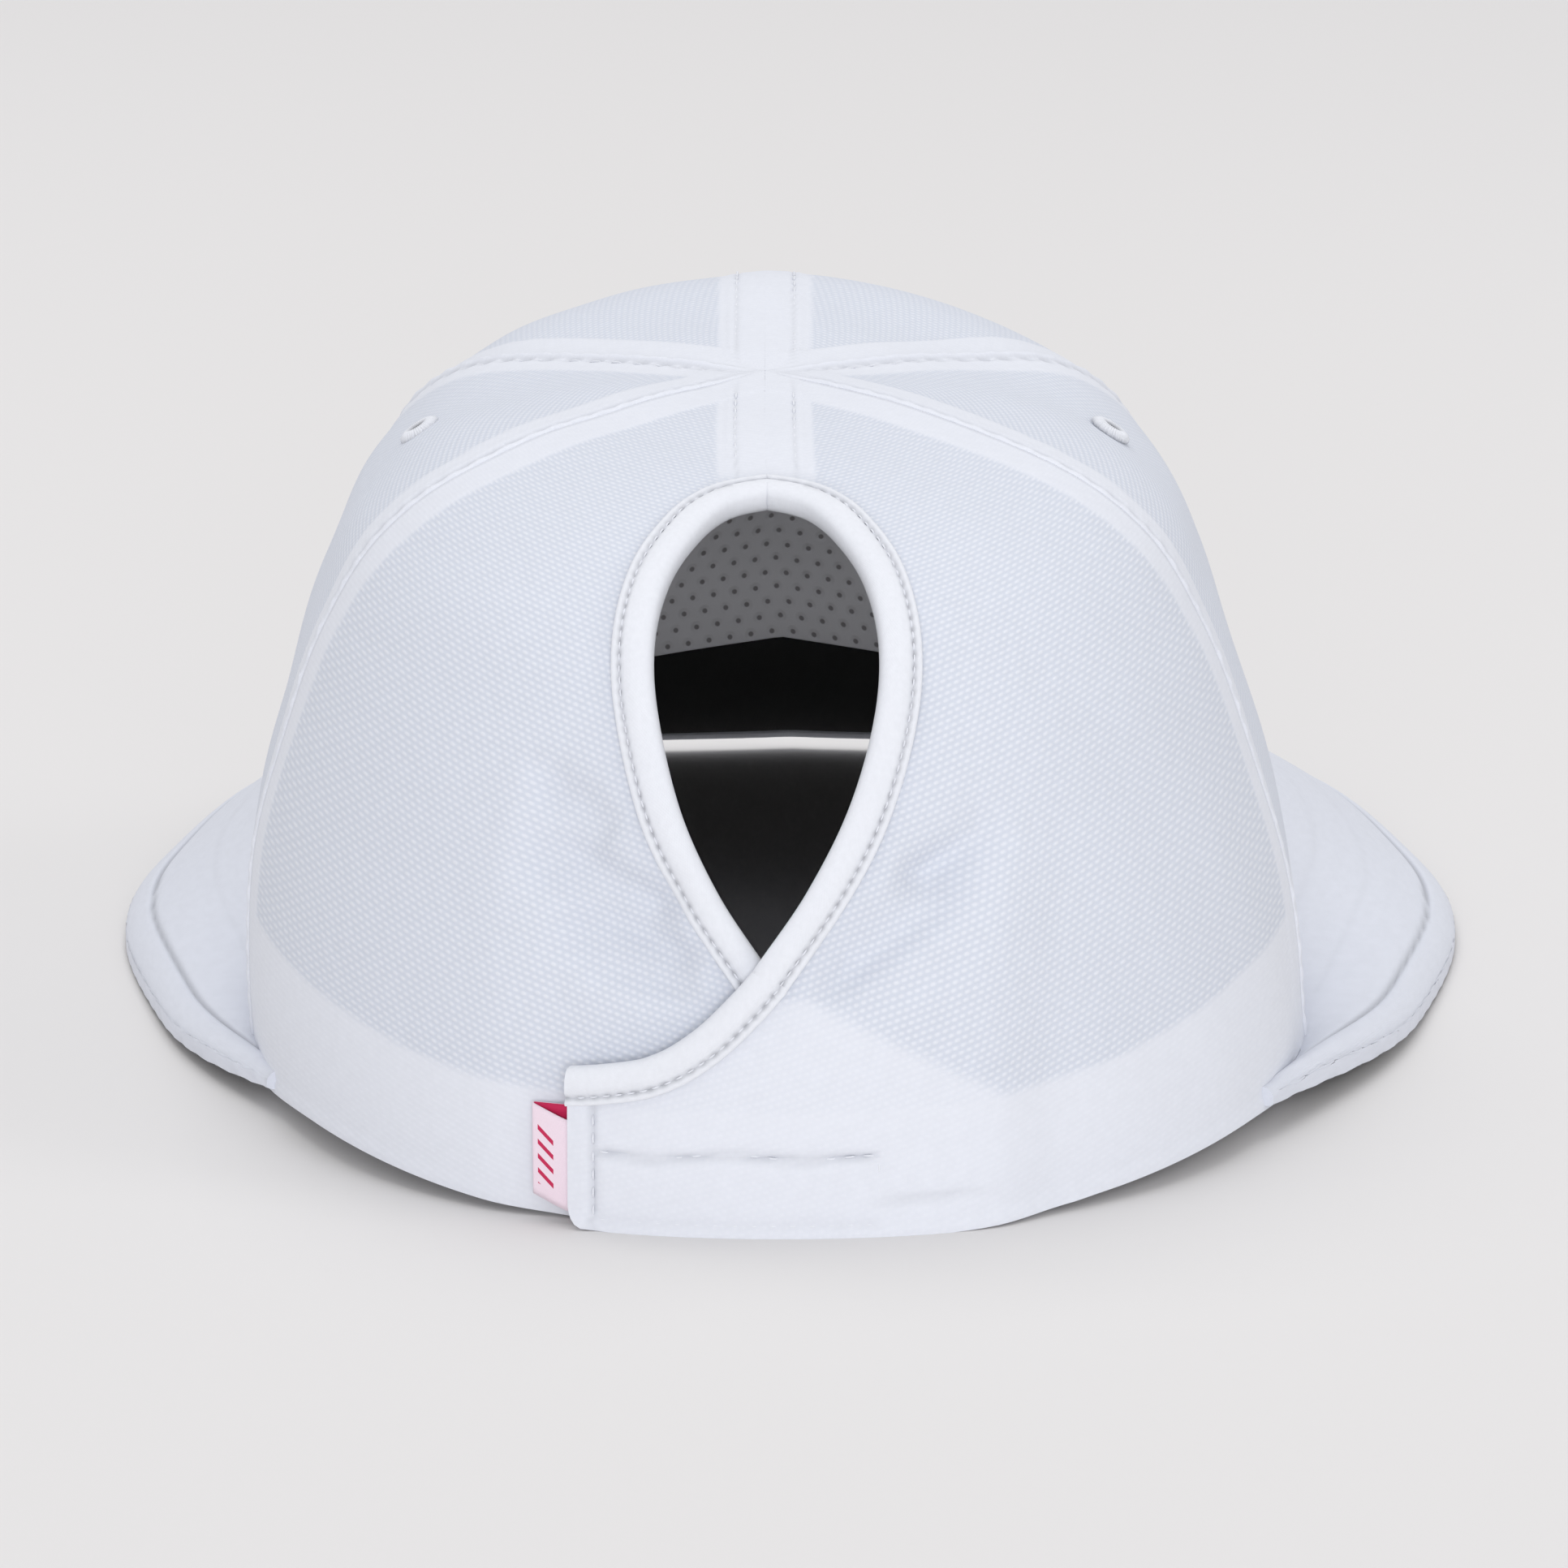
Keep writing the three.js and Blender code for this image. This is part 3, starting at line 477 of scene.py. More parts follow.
def birdseye_knit():
    """Polyester birdseye knit, white, brushed by wear: small staggered cells 1.1 mm apart with painted shade
    in the pit between them, matt, and paler and smoother where a tape or the sweatband backs it, with less
    painted shade in its pits there."""
    cell_wide, cell_tall = 1.1, 0.95
    open_knit, pit_shade, backed_knit = linear("#DFE2EA"), linear("#CFD4DF"), linear("#E2E4EB")
    material, tree, shader = start_material("birdseye_polyester_knit", "#EDEEF4", 0.86, sheen=0.12)
    across, up = cloth_place(tree)
    rows_up = node(tree, MATH, (up, cell_tall), operation="DIVIDE")
    row = node(tree, MATH, (rows_up,), operation="FLOOR")
    staggered = node(tree, MATH, (row, cell_wide / 2, across), operation="MULTIPLY_ADD")
    cell = node(tree, MATH, (wave(tree, staggered, cell_wide), 0.4, 0.6), operation="MULTIPLY_ADD")
    ridge = node(tree, MATH, (wave(tree, up, cell_tall), -0.5, 0.5), operation="MULTIPLY_ADD")
    height = node(tree, MATH, (cell, ridge), operation="MULTIPLY")
    backed = node(tree, "ShaderNodeAttribute", attribute_name="backed").outputs["Fac"]
    open_share = node(tree, MATH, (backed, -0.72, 1.0), operation="MULTIPLY_ADD")
    fuzz = node(tree, "ShaderNodeTexNoise", {"Scale": 900.0, "Detail": 2.0}).outputs["Fac"]
    fuzzy = node(tree, MATH, (fuzz, 0.25, height), operation="MULTIPLY_ADD")
    relief = node(tree, MATH, (fuzzy, open_share), operation="MULTIPLY")
    bump = node(tree, "ShaderNodeBump", {"Strength": 0.3, "Distance": 0.0003, "Height": relief})
    tree.links.new(bump.outputs[0], shader.inputs["Normal"])
    # painted shade: the low pits between the cells are tinted darker, less so where the knit is backed
    pit = node(tree, "ShaderNodeMapRange", (height, 0.05, 0.75, 1.0, 0.0))
    shade = node(tree, MATH, (pit, open_share), operation="MULTIPLY")
    knitted = node(tree, "ShaderNodeMix", {0: shade, 6: open_knit, 7: pit_shade}, data_type="RGBA")
    paler = node(tree, MATH, (backed, 0.6), operation="MULTIPLY")
    colours = {0: paler, 6: knitted.outputs[2], 7: backed_knit}
    pale = node(tree, "ShaderNodeMix", colours, data_type="RGBA")
    worn = node(tree, "ShaderNodeTexNoise", {"Scale": 55.0, "Detail": 3.0}).outputs["Fac"]
    even = node(tree, "ShaderNodeMapRange", (worn, 0.3, 0.7, 0.975, 1.0))
    colour_cloth(tree, shader, pale.outputs[2], even, 0.3)
    return material


def jersey(name, colour, rib_mm, strength, roughness=0.8, sheen=0.15):
    """Smooth knitted jersey or woven tape: fine ribs along the cloth and a slight unevenness."""
    material, tree, shader = start_material(name, colour, roughness, sheen)
    across, up = cloth_place(tree)
    ribs = node(tree, MATH, (wave(tree, across, rib_mm), wave(tree, up, rib_mm * 0.8)), operation="MULTIPLY")
    fuzz = node(tree, "ShaderNodeTexNoise", {"Scale": 1400.0, "Detail": 2.0}).outputs["Fac"]
    height = node(tree, MATH, (ribs, 0.5, fuzz), operation="MULTIPLY_ADD")
    bump = node(tree, "ShaderNodeBump", {"Strength": strength, "Distance": 0.0002, "Height": height})
    tree.links.new(bump.outputs[0], shader.inputs["Normal"])
    patch = node(tree, "ShaderNodeTexNoise", {"Scale": 70.0, "Detail": 2.0}).outputs["Fac"]
    even = node(tree, "ShaderNodeMapRange", (patch, 0.3, 0.7, 0.965, 1.0))
    colour_cloth(tree, shader, linear(colour)[:3], even, 0.35)
    return material


def label_satin():
    """Woven satin ribbon, pale pink, with a column of short slanted crimson bars woven into its face."""
    material = jersey("label_satin_pink", "#F0DDE8", 0.4, 0.15, roughness=0.5)
    tree = material.node_tree
    shader = tree.nodes["Principled BSDF"]
    ground = shader.inputs["Base Color"].links[0].from_socket
    across, up = cloth_place(tree)
    bar_pitch, bar_wide, slope = 2.1, 0.75, 0.45
    slanted = node(tree, MATH, (across, slope, up), operation="MULTIPLY_ADD")
    in_pitch = node(tree, MATH, (slanted, bar_pitch), operation="FLOORED_MODULO")
    in_bar = node(tree, MATH, (in_pitch, bar_wide), operation="LESS_THAN")
    for length, side, limit in (
        (across, "GREATER_THAN", 10.9), (across, "LESS_THAN", 13.6), (up, "GREATER_THAN", 1.9),
        (up, "LESS_THAN", 10.6),
    ):
        within = node(tree, MATH, (length, limit), operation=side)
        in_bar = node(tree, MATH, (in_bar, within), operation="MULTIPLY")
    woven = node(tree, "ShaderNodeMix", {0: in_bar, 6: ground, 7: linear("#C4174F")}, data_type="RGBA")
    tree.links.new(woven.outputs[2], shader.inputs["Base Color"])
    return material


def perforated_knit():
    """Foam-backed sweatband knit, white, punched in staggered rows of 0.7 mm holes, each darkened by a
    painted shade of the gap behind it.
    """
    material, tree, shader = start_material("punched_sweatband_knit", "#EDECEF", 0.88, sheen=0.1)
    across, up = cloth_place(tree)
    row_pitch, hole_pitch = 2.4, 3.4
    rows_up = node(tree, MATH, (up, row_pitch), operation="DIVIDE")
    row = node(tree, MATH, (rows_up,), operation="FLOOR")
    odd = node(tree, MATH, (row, 2.0), operation="FLOORED_MODULO")
    shifted = node(tree, MATH, (odd, hole_pitch / 2, across), operation="MULTIPLY_ADD")
    squares = []
    for length, pitch in ((shifted, hole_pitch), (up, row_pitch)):
        in_pitch = node(tree, MATH, (length, pitch), operation="FLOORED_MODULO")
        off = node(tree, MATH, (in_pitch, pitch / 2), operation="SUBTRACT")
        squares.append(node(tree, MATH, (off, off), operation="MULTIPLY"))
    square = node(tree, MATH, squares, operation="ADD")
    from_hole = node(tree, MATH, (square,), operation="SQRT")
    hole = node(tree, "ShaderNodeMapRange", (from_hole, 0.3, 0.5, 1.0, 0.0))
    dented = (from_hole, 0.2, 1.1, 0.0, 1.0)
    dent = node(tree, "ShaderNodeMapRange", dented, interpolation_type="SMOOTHSTEP")
    bump = node(tree, "ShaderNodeBump", {"Strength": 0.7, "Distance": 0.0004, "Height": dent})
    tree.links.new(bump.outputs[0], shader.inputs["Normal"])
    # painted shade: each hole is darkened towards #6E6668, the shade seen down it
    painted_hole_shade = node(tree, MATH, (hole, 0.75), operation="MULTIPLY")
    colours = {0: painted_hole_shade, 6: linear("#EDECEF"), 7: linear("#6E6668")}
    punched = node(tree, "ShaderNodeMix", colours, data_type="RGBA")
    tree.links.new(punched.outputs[2], shader.inputs["Base Color"])
    return material


def thread(name, colour):
    """Spun polyester sewing thread: a soft shine on fine twisted plies."""
    material, tree, shader = start_material(name, colour, 0.6, sheen=0.2)
    place = node(tree, "ShaderNodeTexCoord").outputs["Object"]
    plies = {"Vector": place, "Scale": 900.0, "Distortion": 0.5}
    twist = node(tree, "ShaderNodeTexWave", plies, bands_direction="DIAGONAL").outputs["Fac"]
    bump = node(tree, "ShaderNodeBump", {"Strength": 0.3, "Distance": 0.0001, "Height": twist})
    tree.links.new(bump.outputs[0], shader.inputs["Normal"])
    colour_cloth(tree, shader, linear(colour)[:3], 1.0, 0.35)
    return material


KNIT = birdseye_knit()
# Polyester jersey, knitted and folded: smooth, soft and a little brighter than the birdseye
BINDING_JERSEY = jersey("binding_jersey", "#E3E5EB", 0.7, 0.12)
# Woven polyester twill tape: the palest cloth, matt
TWILL_TAPE = jersey("seam_twill_tape", "#F1F1F5", 0.9, 0.2)
PUNCHED = perforated_knit()
# Woven polyester twill over the peak's board: smooth and faintly cool
PEAK_TWILL = jersey("peak_polyester_twill", "#D9DCE5", 0.6, 0.1, roughness=0.82, sheen=0.1)
# Woven cotton twill, dyed black: dull, and it swallows the light under the peak
UNDERPEAK = jersey("underpeak_black_twill", "#17171A", 0.7, 0.25, roughness=0.9, sheen=0.05)
# Nylon hook tape, moulded: coarse, with a slight gloss
HOOK_NYLON = jersey("nylon_hook_tape", "#E8E8EA", 0.9, 0.9, roughness=0.55)
# Nylon loop tape, brushed: fuzzy and matt
LOOP_NYLON = jersey("nylon_loop_tape", "#EAEAEC", 0.6, 0.9, roughness=0.9, sheen=0.3)
WHITE_THREAD = thread("white_polyester_thread", "#E3E5EB")
LABEL_PINK = label_satin()
# Woven satin, crimson: the back of the label's ribbon, with a soft shine
LABEL_CRIMSON = jersey("label_satin_crimson", "#C4174F", 0.4, 0.15, roughness=0.5)


# Panels
def seam_turn(column, climb):
    return np.radians(look_up(SEAMS, column, climb))


TAPED_LINE = 4.3  # from a taped seam to each of its two rows of stitches
RIDGE_LINE = 2.1  # from a ridged seam to its row of needle holes
HOLE_PITCH = 4.0  # from one needle hole to the next
TAPE_SHOWN = 6.6  # from a seam to where the tape behind the cloth stops showing
SEAM_GAP, TAPED_LAP = 0.01, 0.03  # between two panels, and by which they lap on a taped seam


def along_holes(run, phase=0.0):
    """From 0 to 1 and back at every needle hole, not quite evenly."""
    return 0.5 + 0.5 * np.cos(2 * np.pi * run / HOLE_PITCH + 0.9 * np.sin(run / 7.0) + phase)


def needle_holes(off, run):
    """The row of long dimples that the needle draws in beside a seam."""
    return ease((along_holes(run) - 0.12) / 0.5) * bump_at(off - RIDGE_LINE, 0.62)


def seam_relief(off, run, kind):
    """Height of the cloth beside a seam. A taped seam is a flat band with two sewn lines, a ridged one
    stands up in a narrow puckered lip, and the cloth on the lip's other side lies flat on its tape."""
    if kind == "taped":
        return 0.2 * (1 - ease((off - 5.5) / 0.5)) - 0.16 * bump_at(off - TAPED_LINE, 0.4)
    tape = 0.14 * (1 - ease((off - 6.7) / 0.5))
    if kind == "flat":
        return tape + 0.1 * bump_at(off, 0.5)
    pucker = along_holes(run, np.pi)
    ridge = (0.42 + 0.22 * pucker) * bump_at(off - 0.55, 0.55) + 0.16 * pucker * bump_at(off - 3.4, 0.8)
    return tape + ridge - 0.5 * needle_holes(off, run)


def seam_shade(off, run, kind):
    """Where a seam's grooves hold shade."""
    if kind == "taped":
        return 0.35 * bump_at(off - TAPED_LINE, 0.3)
    if kind == "flat":
        return 0.5 * bump_at(off - 0.2, 0.3)
    return 0.55 * needle_holes(off, run) + 0.35 * bump_at(off - 1.35, 0.35)


def waviness(point):
    """The slight unevenness of soft cloth that stands by itself."""
    x, y, z = point[..., 0], point[..., 1], point[..., 2]
    return (
        0.22 * np.sin(x / 9.0 + z / 14.0) * np.sin(y / 12.0 - z / 10.0 + 1.0)
        + 0.12 * np.sin(x / 4.7 - z / 6.1 + y / 5.3)
    )


def band_height(turn):
    """Height of the sweatband above the rim."""
    around = np.asarray(turn, float) % (2 * np.pi)
    growth = ease(np.minimum(around - BAND_START, BAND_END - around) / math.radians(BAND_GROWTH))
    return BAND_HEIGHT * mix(BAND_TAPER, 1, growth)


def backed_by_band(turn, point):
    above = point[..., 2] - rim_height(turn)
    return 1 - ease((above - band_height(turn) + 0.6) / 1.2)


def backed_by_tape(off):
    return 1 - ease((off - TAPE_SHOWN) / 0.8)


def grain(off, run, angle):
    """A place on the flat cloth, with the knit turned by an angle in degrees."""
    a = math.radians(angle)
    return np.stack([off * math.cos(a) - run * math.sin(a), off * math.sin(a) + run * math.cos(a)], -1)


def knit_piece(name, outer, inner, flat, backed, shade):
    points, faces = shell(outer, inner)
    marks = {"backed": both_sides(backed), "seam": both_sides(shade)}
    piece = mesh_piece(name, points, faces, KNIT, both_sides(flat), marks)
    piece.data.set_sharp_from_angle(angle=math.radians(50))
    return piece


def plain_panel(name, side, from_turn, to_turn, kinds, angle):
    columns = close_columns(16, 0.09, 56)
    climb = np.linspace(0, PANEL_TOP, 150)[:, None] + np.zeros(len(columns))
    start, end = from_turn(climb), to_turn(climb)
    reach = reach_at(side * (start + end) / 2, climb)
    start, end = start + SEAM_GAP / reach, end - (-TAPED_LAP if kinds[1] == "taped" else SEAM_GAP) / reach
    turn = side * mix(start, end, columns)
    point = smooth_point(turn, climb)
    hold = reach_at(turn, climb)
    from_start, from_end = (side * turn - start) * hold, (end - side * turn) * hold
    run = lengths_along(point, 0)
    fade = ease((1 - climb) / 0.06)
    relief = seam_relief(from_start, run, kinds[0]) + seam_relief(from_end, run, kinds[1])
    shade = np.maximum(seam_shade(from_start, run, kinds[0]), seam_shade(from_end, run, kinds[1])) * fade
    hem = 0.25 * ease((2.2 - run) / 0.5)
    out = (relief + waviness(point) * ease(run / 12)) * fade + hem
    outer = crown_point(turn, climb, out)
    inner = crown_point(turn, climb, -CLOTH + 0 * out)
    taped = np.maximum(backed_by_tape(from_start), backed_by_tape(from_end))
    backed = np.maximum(taped, backed_by_band(turn, point))
    flat = grain((from_start - from_end) / 2, run, angle)
    return knit_piece(name, outer, inner, flat, backed, shade)


def edge_turn(side, climb):
    """The turn of a back panel's inner edge, from the rim to the apex."""
    reach = TAB_REACH if side < 0 else UNDER_TAB_REACH
    below = np.maximum(0, TAB_CORNER - smooth_point(0.0, climb)[..., 2])
    reach = reach - TAB_CORNER + np.sqrt(np.maximum(0, TAB_CORNER**2 - below**2))
    past = look_up(TAB_EDGE, 1, (climb - TAB_CLIMB) / (CROSSING_CLIMB - TAB_CLIMB))
    low = turn_for(mix(CROSSING_SHIFT, -side * reach, np.where(climb < TAB_CLIMB, 1, past)), climb)
    up = (climb - CROSSING_CLIMB) / (TOP_CLIMB - CROSSING_CLIMB)
    half = (OPENING_HALF + FOLD_OVER) * look_up(OPENING_EDGE, 1, np.clip(up, 0, 1))
    shift = mix(CROSSING_SHIFT, OPENING_SHIFT, ease(2 * up))
    middle = turn_for(shift + side * np.maximum(LAYER_GAP / 2, half), climb)
    tip = turn_for(OPENING_SHIFT, TOP_CLIMB) * (1 - ease((climb - TOP_CLIMB) / (SEAM_STRAIGHT - TOP_CLIMB)))
    high = -side * TAPED_LAP / reach_at(0.0, np.minimum(climb, PANEL_TOP)) + tip
    return np.where(climb < CROSSING_CLIMB, low, np.where(climb < TOP_CLIMB, middle, high))


def even_climbs(side, count):
    """Climbs that lie evenly spaced along a back panel's inner edge."""
    dense = np.linspace(0, PANEL_TOP, 6000)
    run = lengths_along(smooth_point(edge_turn(side, dense), dense), 0)
    run = run + dense * 60
    return np.interp(np.linspace(0, run[-1], count), run, dense)


def back_panel(name, side, layer_out, angle):
    climbs = even_climbs(side, 210)
    columns = close_columns(16, 0.09, 60)
    climb = climbs[:, None] + np.zeros(len(columns))
    edge = edge_turn(side, climbs)[:, None]
    seam = side * (seam_turn(1, climb) - SEAM_GAP / reach_at(seam_turn(1, climb), climb))
    turn = mix(edge, seam, columns)
    point = smooth_point(turn, climb)
    hold = reach_at(turn, climb)
    from_seam = np.abs(seam - turn) * hold
    from_edge = np.abs(turn - edge) * hold
    run = lengths_along(smooth_point(seam, climb), 0)
    above_tip = ease((climb - TOP_CLIMB) / 0.03)
    fade = ease((1 - climb) / 0.06)
    relief = seam_relief(from_seam, run, "flat") + above_tip * seam_relief(from_edge, run, "taped")
    shade = np.maximum(seam_shade(from_seam, run, "flat"), above_tip * seam_shade(from_edge, run, "taped"))
    shade = shade * fade
    height = point[..., 2]
    hem = 0.25 * ease((height - rim_height(turn) - 2.0) / -0.5)
    out = (relief + waviness(point) * ease(run / 12)) * fade + hem
    taped = np.maximum(backed_by_tape(from_seam), above_tip * backed_by_tape(from_edge))
    backed = np.maximum(taped, backed_by_band(turn, point))
    if side < 0:
        out = out + tab_relief(point)
        backed = np.maximum(backed, tab_backing(point))
        shade = np.maximum(shade, tab_shade(point))
    lift = layer_out * overlap_share(turn, climb)
    outer = crown_point(turn, climb, lift + out)
    inner = crown_point(turn, climb, lift - CLOTH)
    flat = grain(point[..., 0], lengths_along(smooth_point(0 * turn, climb), 0), angle)
    return knit_piece(name, outer, inner, flat, backed, shade)


PATCH_LEFT, PATCH_RIGHT, PATCH_LOW, PATCH_HIGH = TAB_REACH - TAB_HEM, -15.6, 1.7, 11.3


def patch_top(x):
    """The slightly wavy upper line of the patch that holds the hook tape."""
    return PATCH_HIGH + 0.35 * np.sin(x / 3.1) + 0.2 * np.sin(x / 7.3 + 1.0)


def tab_lines(point):
    """How near the sewn lines of the tab are: its hem, the patch's top and end, the lip and the fold."""
    x, z = point[..., 0], point[..., 2]
    over_patch = ease((PATCH_LEFT - x) / 1.5) * ease((x - PATCH_RIGHT + 0.5) / 1.5)
    hem = bump_at(x - PATCH_LEFT, 0.4) * ease((TAB_HEIGHT + 0.5 - z) / 2)
    top = bump_at(z - patch_top(x), 0.5) * over_patch
    end = bump_at(x - PATCH_RIGHT, 0.4) * ease((PATCH_HIGH - z) / 1) * ease((z - PATCH_LOW) / 1)
    lip = bump_at(z - PATCH_LOW, 0.35) * over_patch
    fold = bump_at(z - 5.0 - (PATCH_RIGHT - x) * 0.02, 0.5)
    fold = fold * ease((PATCH_RIGHT - x) / 1.5) * ease((x + 34) / 10)
    return hem, top, end, lip, fold


def tab_relief(point):
    """The tab's turned end, its patch of hook tape and the stitched lines round them."""
    x, z = point[..., 0], point[..., 2]
    hem, top, end, lip, fold = tab_lines(point)
    end_fold = 0.5 * ease((x - PATCH_LEFT) / 0.5) * ease((TAB_HEIGHT + 1 - z) / 2)
    inside = ease((PATCH_LEFT - x) / 0.8) * ease((x - PATCH_RIGHT) / 0.8)
    inside = inside * ease((z - PATCH_LOW) / 0.6) * ease((patch_top(x) - z) / 0.8)
    bottom = 0.35 * ease((PATCH_LOW - z) / 0.5)
    relief = end_fold + 0.25 * inside + bottom - 0.3 * hem - 0.85 * top - 0.4 * end - 0.3 * lip - 0.4 * fold
    return np.where(point[..., 1] > 0, relief, 0)


def tab_shade(point):
    hem, top, end, lip, fold = tab_lines(point)
    return np.where(point[..., 1] > 0, 0.5 * hem + 0.6 * top + 0.45 * end + 0.4 * lip + 0.45 * fold, 0)


def tab_backing(point):
    """The tab is lined up to a slanted edge right of the crossing."""
    x, z = point[..., 0], point[..., 2]
    top = 34 - 0.55 * np.maximum(0, -6 - x)
    lined = ease((top - z) / 1.5) * ease((x + 40) / 3)
    return np.where(point[..., 1] > 0, 0.8 * lined, 0)


back_seam = lambda climb: seam_turn(1, climb)
front_seam = lambda climb: seam_turn(2, climb)
centre_line = lambda climb: np.pi + 0 * climb
cap_pieces = {}
for hand, side in (("left", 1), ("right", -1)):
    cap_pieces["front_panel_" + hand] = plain_panel(
        "knit_front_panel_" + hand, side, front_seam, centre_line, ("flat", "taped"), 0)
    cap_pieces["side_panel_" + hand] = plain_panel(
        "knit_side_panel_" + hand, side, back_seam, front_seam, ("ridged", "ridged"), -10)
cap_pieces["back_panel_left"] = back_panel("knit_back_panel_left", 1, UNDER_OUT, -18)
cap_pieces["back_panel_right"] = back_panel("knit_back_panel_right", -1, TAB_OUT, 18)
for node_name, piece in cap_pieces.items():
    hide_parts(node_name)


# Bindings
def binding_path(side, count):
    """The panel's inner edge from the top of the opening to the tab's end."""
    climb = np.linspace(TOP_CLIMB, TAB_CLIMB, 1500)
    turn = edge_turn(side, np.clip(climb, TAB_CLIMB + 1e-6, TOP_CLIMB - 1e-6))
    run = lengths_along(smooth_point(turn, climb), 0)
    at = np.linspace(0, run[-1], count)
    turn, climb = np.interp(at, run, turn), np.interp(at, run, climb)
    # folded round the top, the cloth takes a rounder bend than the panels' cut
    across = np.abs(smooth_point(turn, climb)[:, 0] - OPENING_SHIFT)
    lower = -1.35 * np.clip(1 - across / 6, 0, 1) ** 2 * (climb > (CROSSING_CLIMB + TOP_CLIMB) / 2)
    turn, climb = shift_spot(turn, climb, rising(turn, climb), lower)
    return turn, climb, at


# Across the folded binding's outer side, as (share of its width, mm more, mm out): the raised welt, the
# groove with the stitches, the broad smooth band and the rounded fold
BINDING_SECTION = [
    (1, 0.0, BINDING_GAP), (1, 0.12, FOLD_OVER - 0.35), (1, 0.04, FOLD_OVER), (1, -0.2, FOLD_OVER + 0.2),
    (1, -0.55, FOLD_OVER + 0.22), (1, -0.85, FOLD_OVER + 0.02), (1, -1.05, FOLD_OVER - 0.32),
    (1, -1.25, FOLD_OVER - 0.2), (1, -1.6, FOLD_OVER + 0.02), (0.55, 0.0, FOLD_OVER + 0.18),
    (0.3, 0.0, FOLD_OVER + 0.22), (0, 0.5, FOLD_OVER + 0.14), (0, -0.2, FOLD_OVER - 0.05),
    (0, -0.85, FOLD_OVER - 0.45), (0, -1.2, FOLD_OVER - 1.0), (0, -FOLD_OVER, -CLOTH / 2),
]
WELT, GROOVE = 0.4, 1.05  # from the binding's edge to the welt's top and to the groove
BINDING_STITCH = 1.8  # from one stitch in the groove to the next


def binding(name, side, layer_out):
    turn, climb, run = binding_path(side, 420)
    here = smooth_point(turn, climb)
    along = np.gradient(here, axis=0)
    ends = ease(np.minimum(run, run[-1] - run) / 2.5)[:, None]
    flat_start, flat_end = np.array([side, 0, 0.0]), np.array([-side, 0, 0.0])
    flat = np.where((run < run[-1] / 2)[:, None], flat_start, flat_end)
    along = unit(mix(flat, unit(along), ends))
    normal = outwards(turn, climb)
    away = unit(-side * np.cross(normal, along))
    width = BINDING_WIDTH - 0.7 - 0.9 * (1 - ease(run / 14)) - 0.4 * ease((run - 62) / 20)
    # the needle draws the groove in at every stitch and puckers the cloth a little
    drawn = 0.5 + 0.5 * np.cos(2 * np.pi * run / BINDING_STITCH)
    back = [(share, more, -CLOTH - out) for share, more, out in BINDING_SECTION[:-1]][::-1]
    inside = [(0, -BINDING_GAP, -CLOTH - BINDING_GAP), (0, -BINDING_GAP, BINDING_GAP)]
    section = BINDING_SECTION + back + inside
    rings, shades = [], []
    for share, more, out in section:
        inwards = share * width + more
        groove = bump_at(inwards - width + GROOVE, 0.35) * (out > 0)
        welt = bump_at(inwards - width + WELT, 0.4) * (out > 0)
        place_turn, place_climb = shift_spot(turn, climb, away, inwards + 0.05 * welt * drawn)
        lift = layer_out * overlap_share(place_turn, place_climb)
        depth = out - 0.18 * groove * drawn - 0.08 * welt * drawn
        depth = depth + 0.07 * np.sin(run / 3.7 + 0.8 * more + share) * (out > 0)
        rings.append(crown_point(place_turn, place_climb, lift + depth))
        shades.append(groove * (0.45 + 0.5 * drawn))
    points = np.stack(rings, 1)
    points[..., 0] -= (side * (LAYER_GAP / 2 + 0.02) * (1 - ease(run / 3)))[:, None]
    count, size, fold = points.shape[0], points.shape[1], len(BINDING_SECTION)
    faces = []
    for k in range(count - 1):
        for i in range(size):
            j = (i + 1) % size
            a, b = k * size, (k + 1) * size
            faces.append((a + i, a + j, b + j, b + i))
    for start in (0, (count - 1) * size):
        # each end closes as the front layer, the fold and the back layer
        outer_layer = [start + i for i in range(fold)]
        inner_layer = [start + i for i in range(fold - 1, size - 2)]
        far, near = start + size - 2, start + size - 1
        cap = [tuple(outer_layer + [near]), (start + fold - 1, far, near), tuple(inner_layer + [far])]
        faces += [c if start else c[::-1] for c in cap]
    flat_points = points.reshape(-1, 3)
    faces = face_out(flat_points, faces)
    around = np.array([share * BINDING_WIDTH + more + 2 * out for share, more, out in section])
    cloth = np.stack([np.repeat(run, size), np.tile(around, count)], -1)
    marks = {"seam": np.stack(shades, 1)}
    piece = mesh_piece(name, flat_points, faces, BINDING_JERSEY, cloth, marks)
    piece.data.set_sharp_from_angle(angle=math.radians(70))
    groove_turn, groove_climb = shift_spot(turn, climb, away, width - GROOVE)
    lift = layer_out * overlap_share(groove_turn, groove_climb)
    line = crown_point(groove_turn, groove_climb, lift + FOLD_OVER - 0.36)
    return piece, (line[4:-4], outwards(groove_turn, groove_climb)[4:-4])


left_binding, left_line = binding("jersey_opening_binding_left", 1, UNDER_OUT)
right_binding, right_line = binding("jersey_opening_binding_right", -1, TAB_OUT)
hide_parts("opening_binding_left")
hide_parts("opening_binding_right")
stitches("stitches_opening_bindings", [left_line, right_line],
         pitch=BINDING_STITCH, length=1.25, thick=0.26)


# Tapes, sweatband and fastening
def tape_piece(name, node_name, spots, out, wall, material):
    turn, climb = spots
    outer = crown_point(turn, climb, out + 0 * turn)
    inner = crown_point(turn, climb, out - wall + 0 * turn)
    flat = np.stack([lengths_along(outer, 1), lengths_along(outer, 0)], -1)
    points, faces = shell(outer, inner)
    piece = mesh_piece(name, points, faces, material, both_sides(flat))
    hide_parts(node_name)
    soften(piece, 0.25)


def band_top(turn):
    return climb_at(turn, rim_height(turn) + BAND_HEIGHT + 2 * LAYER_GAP)


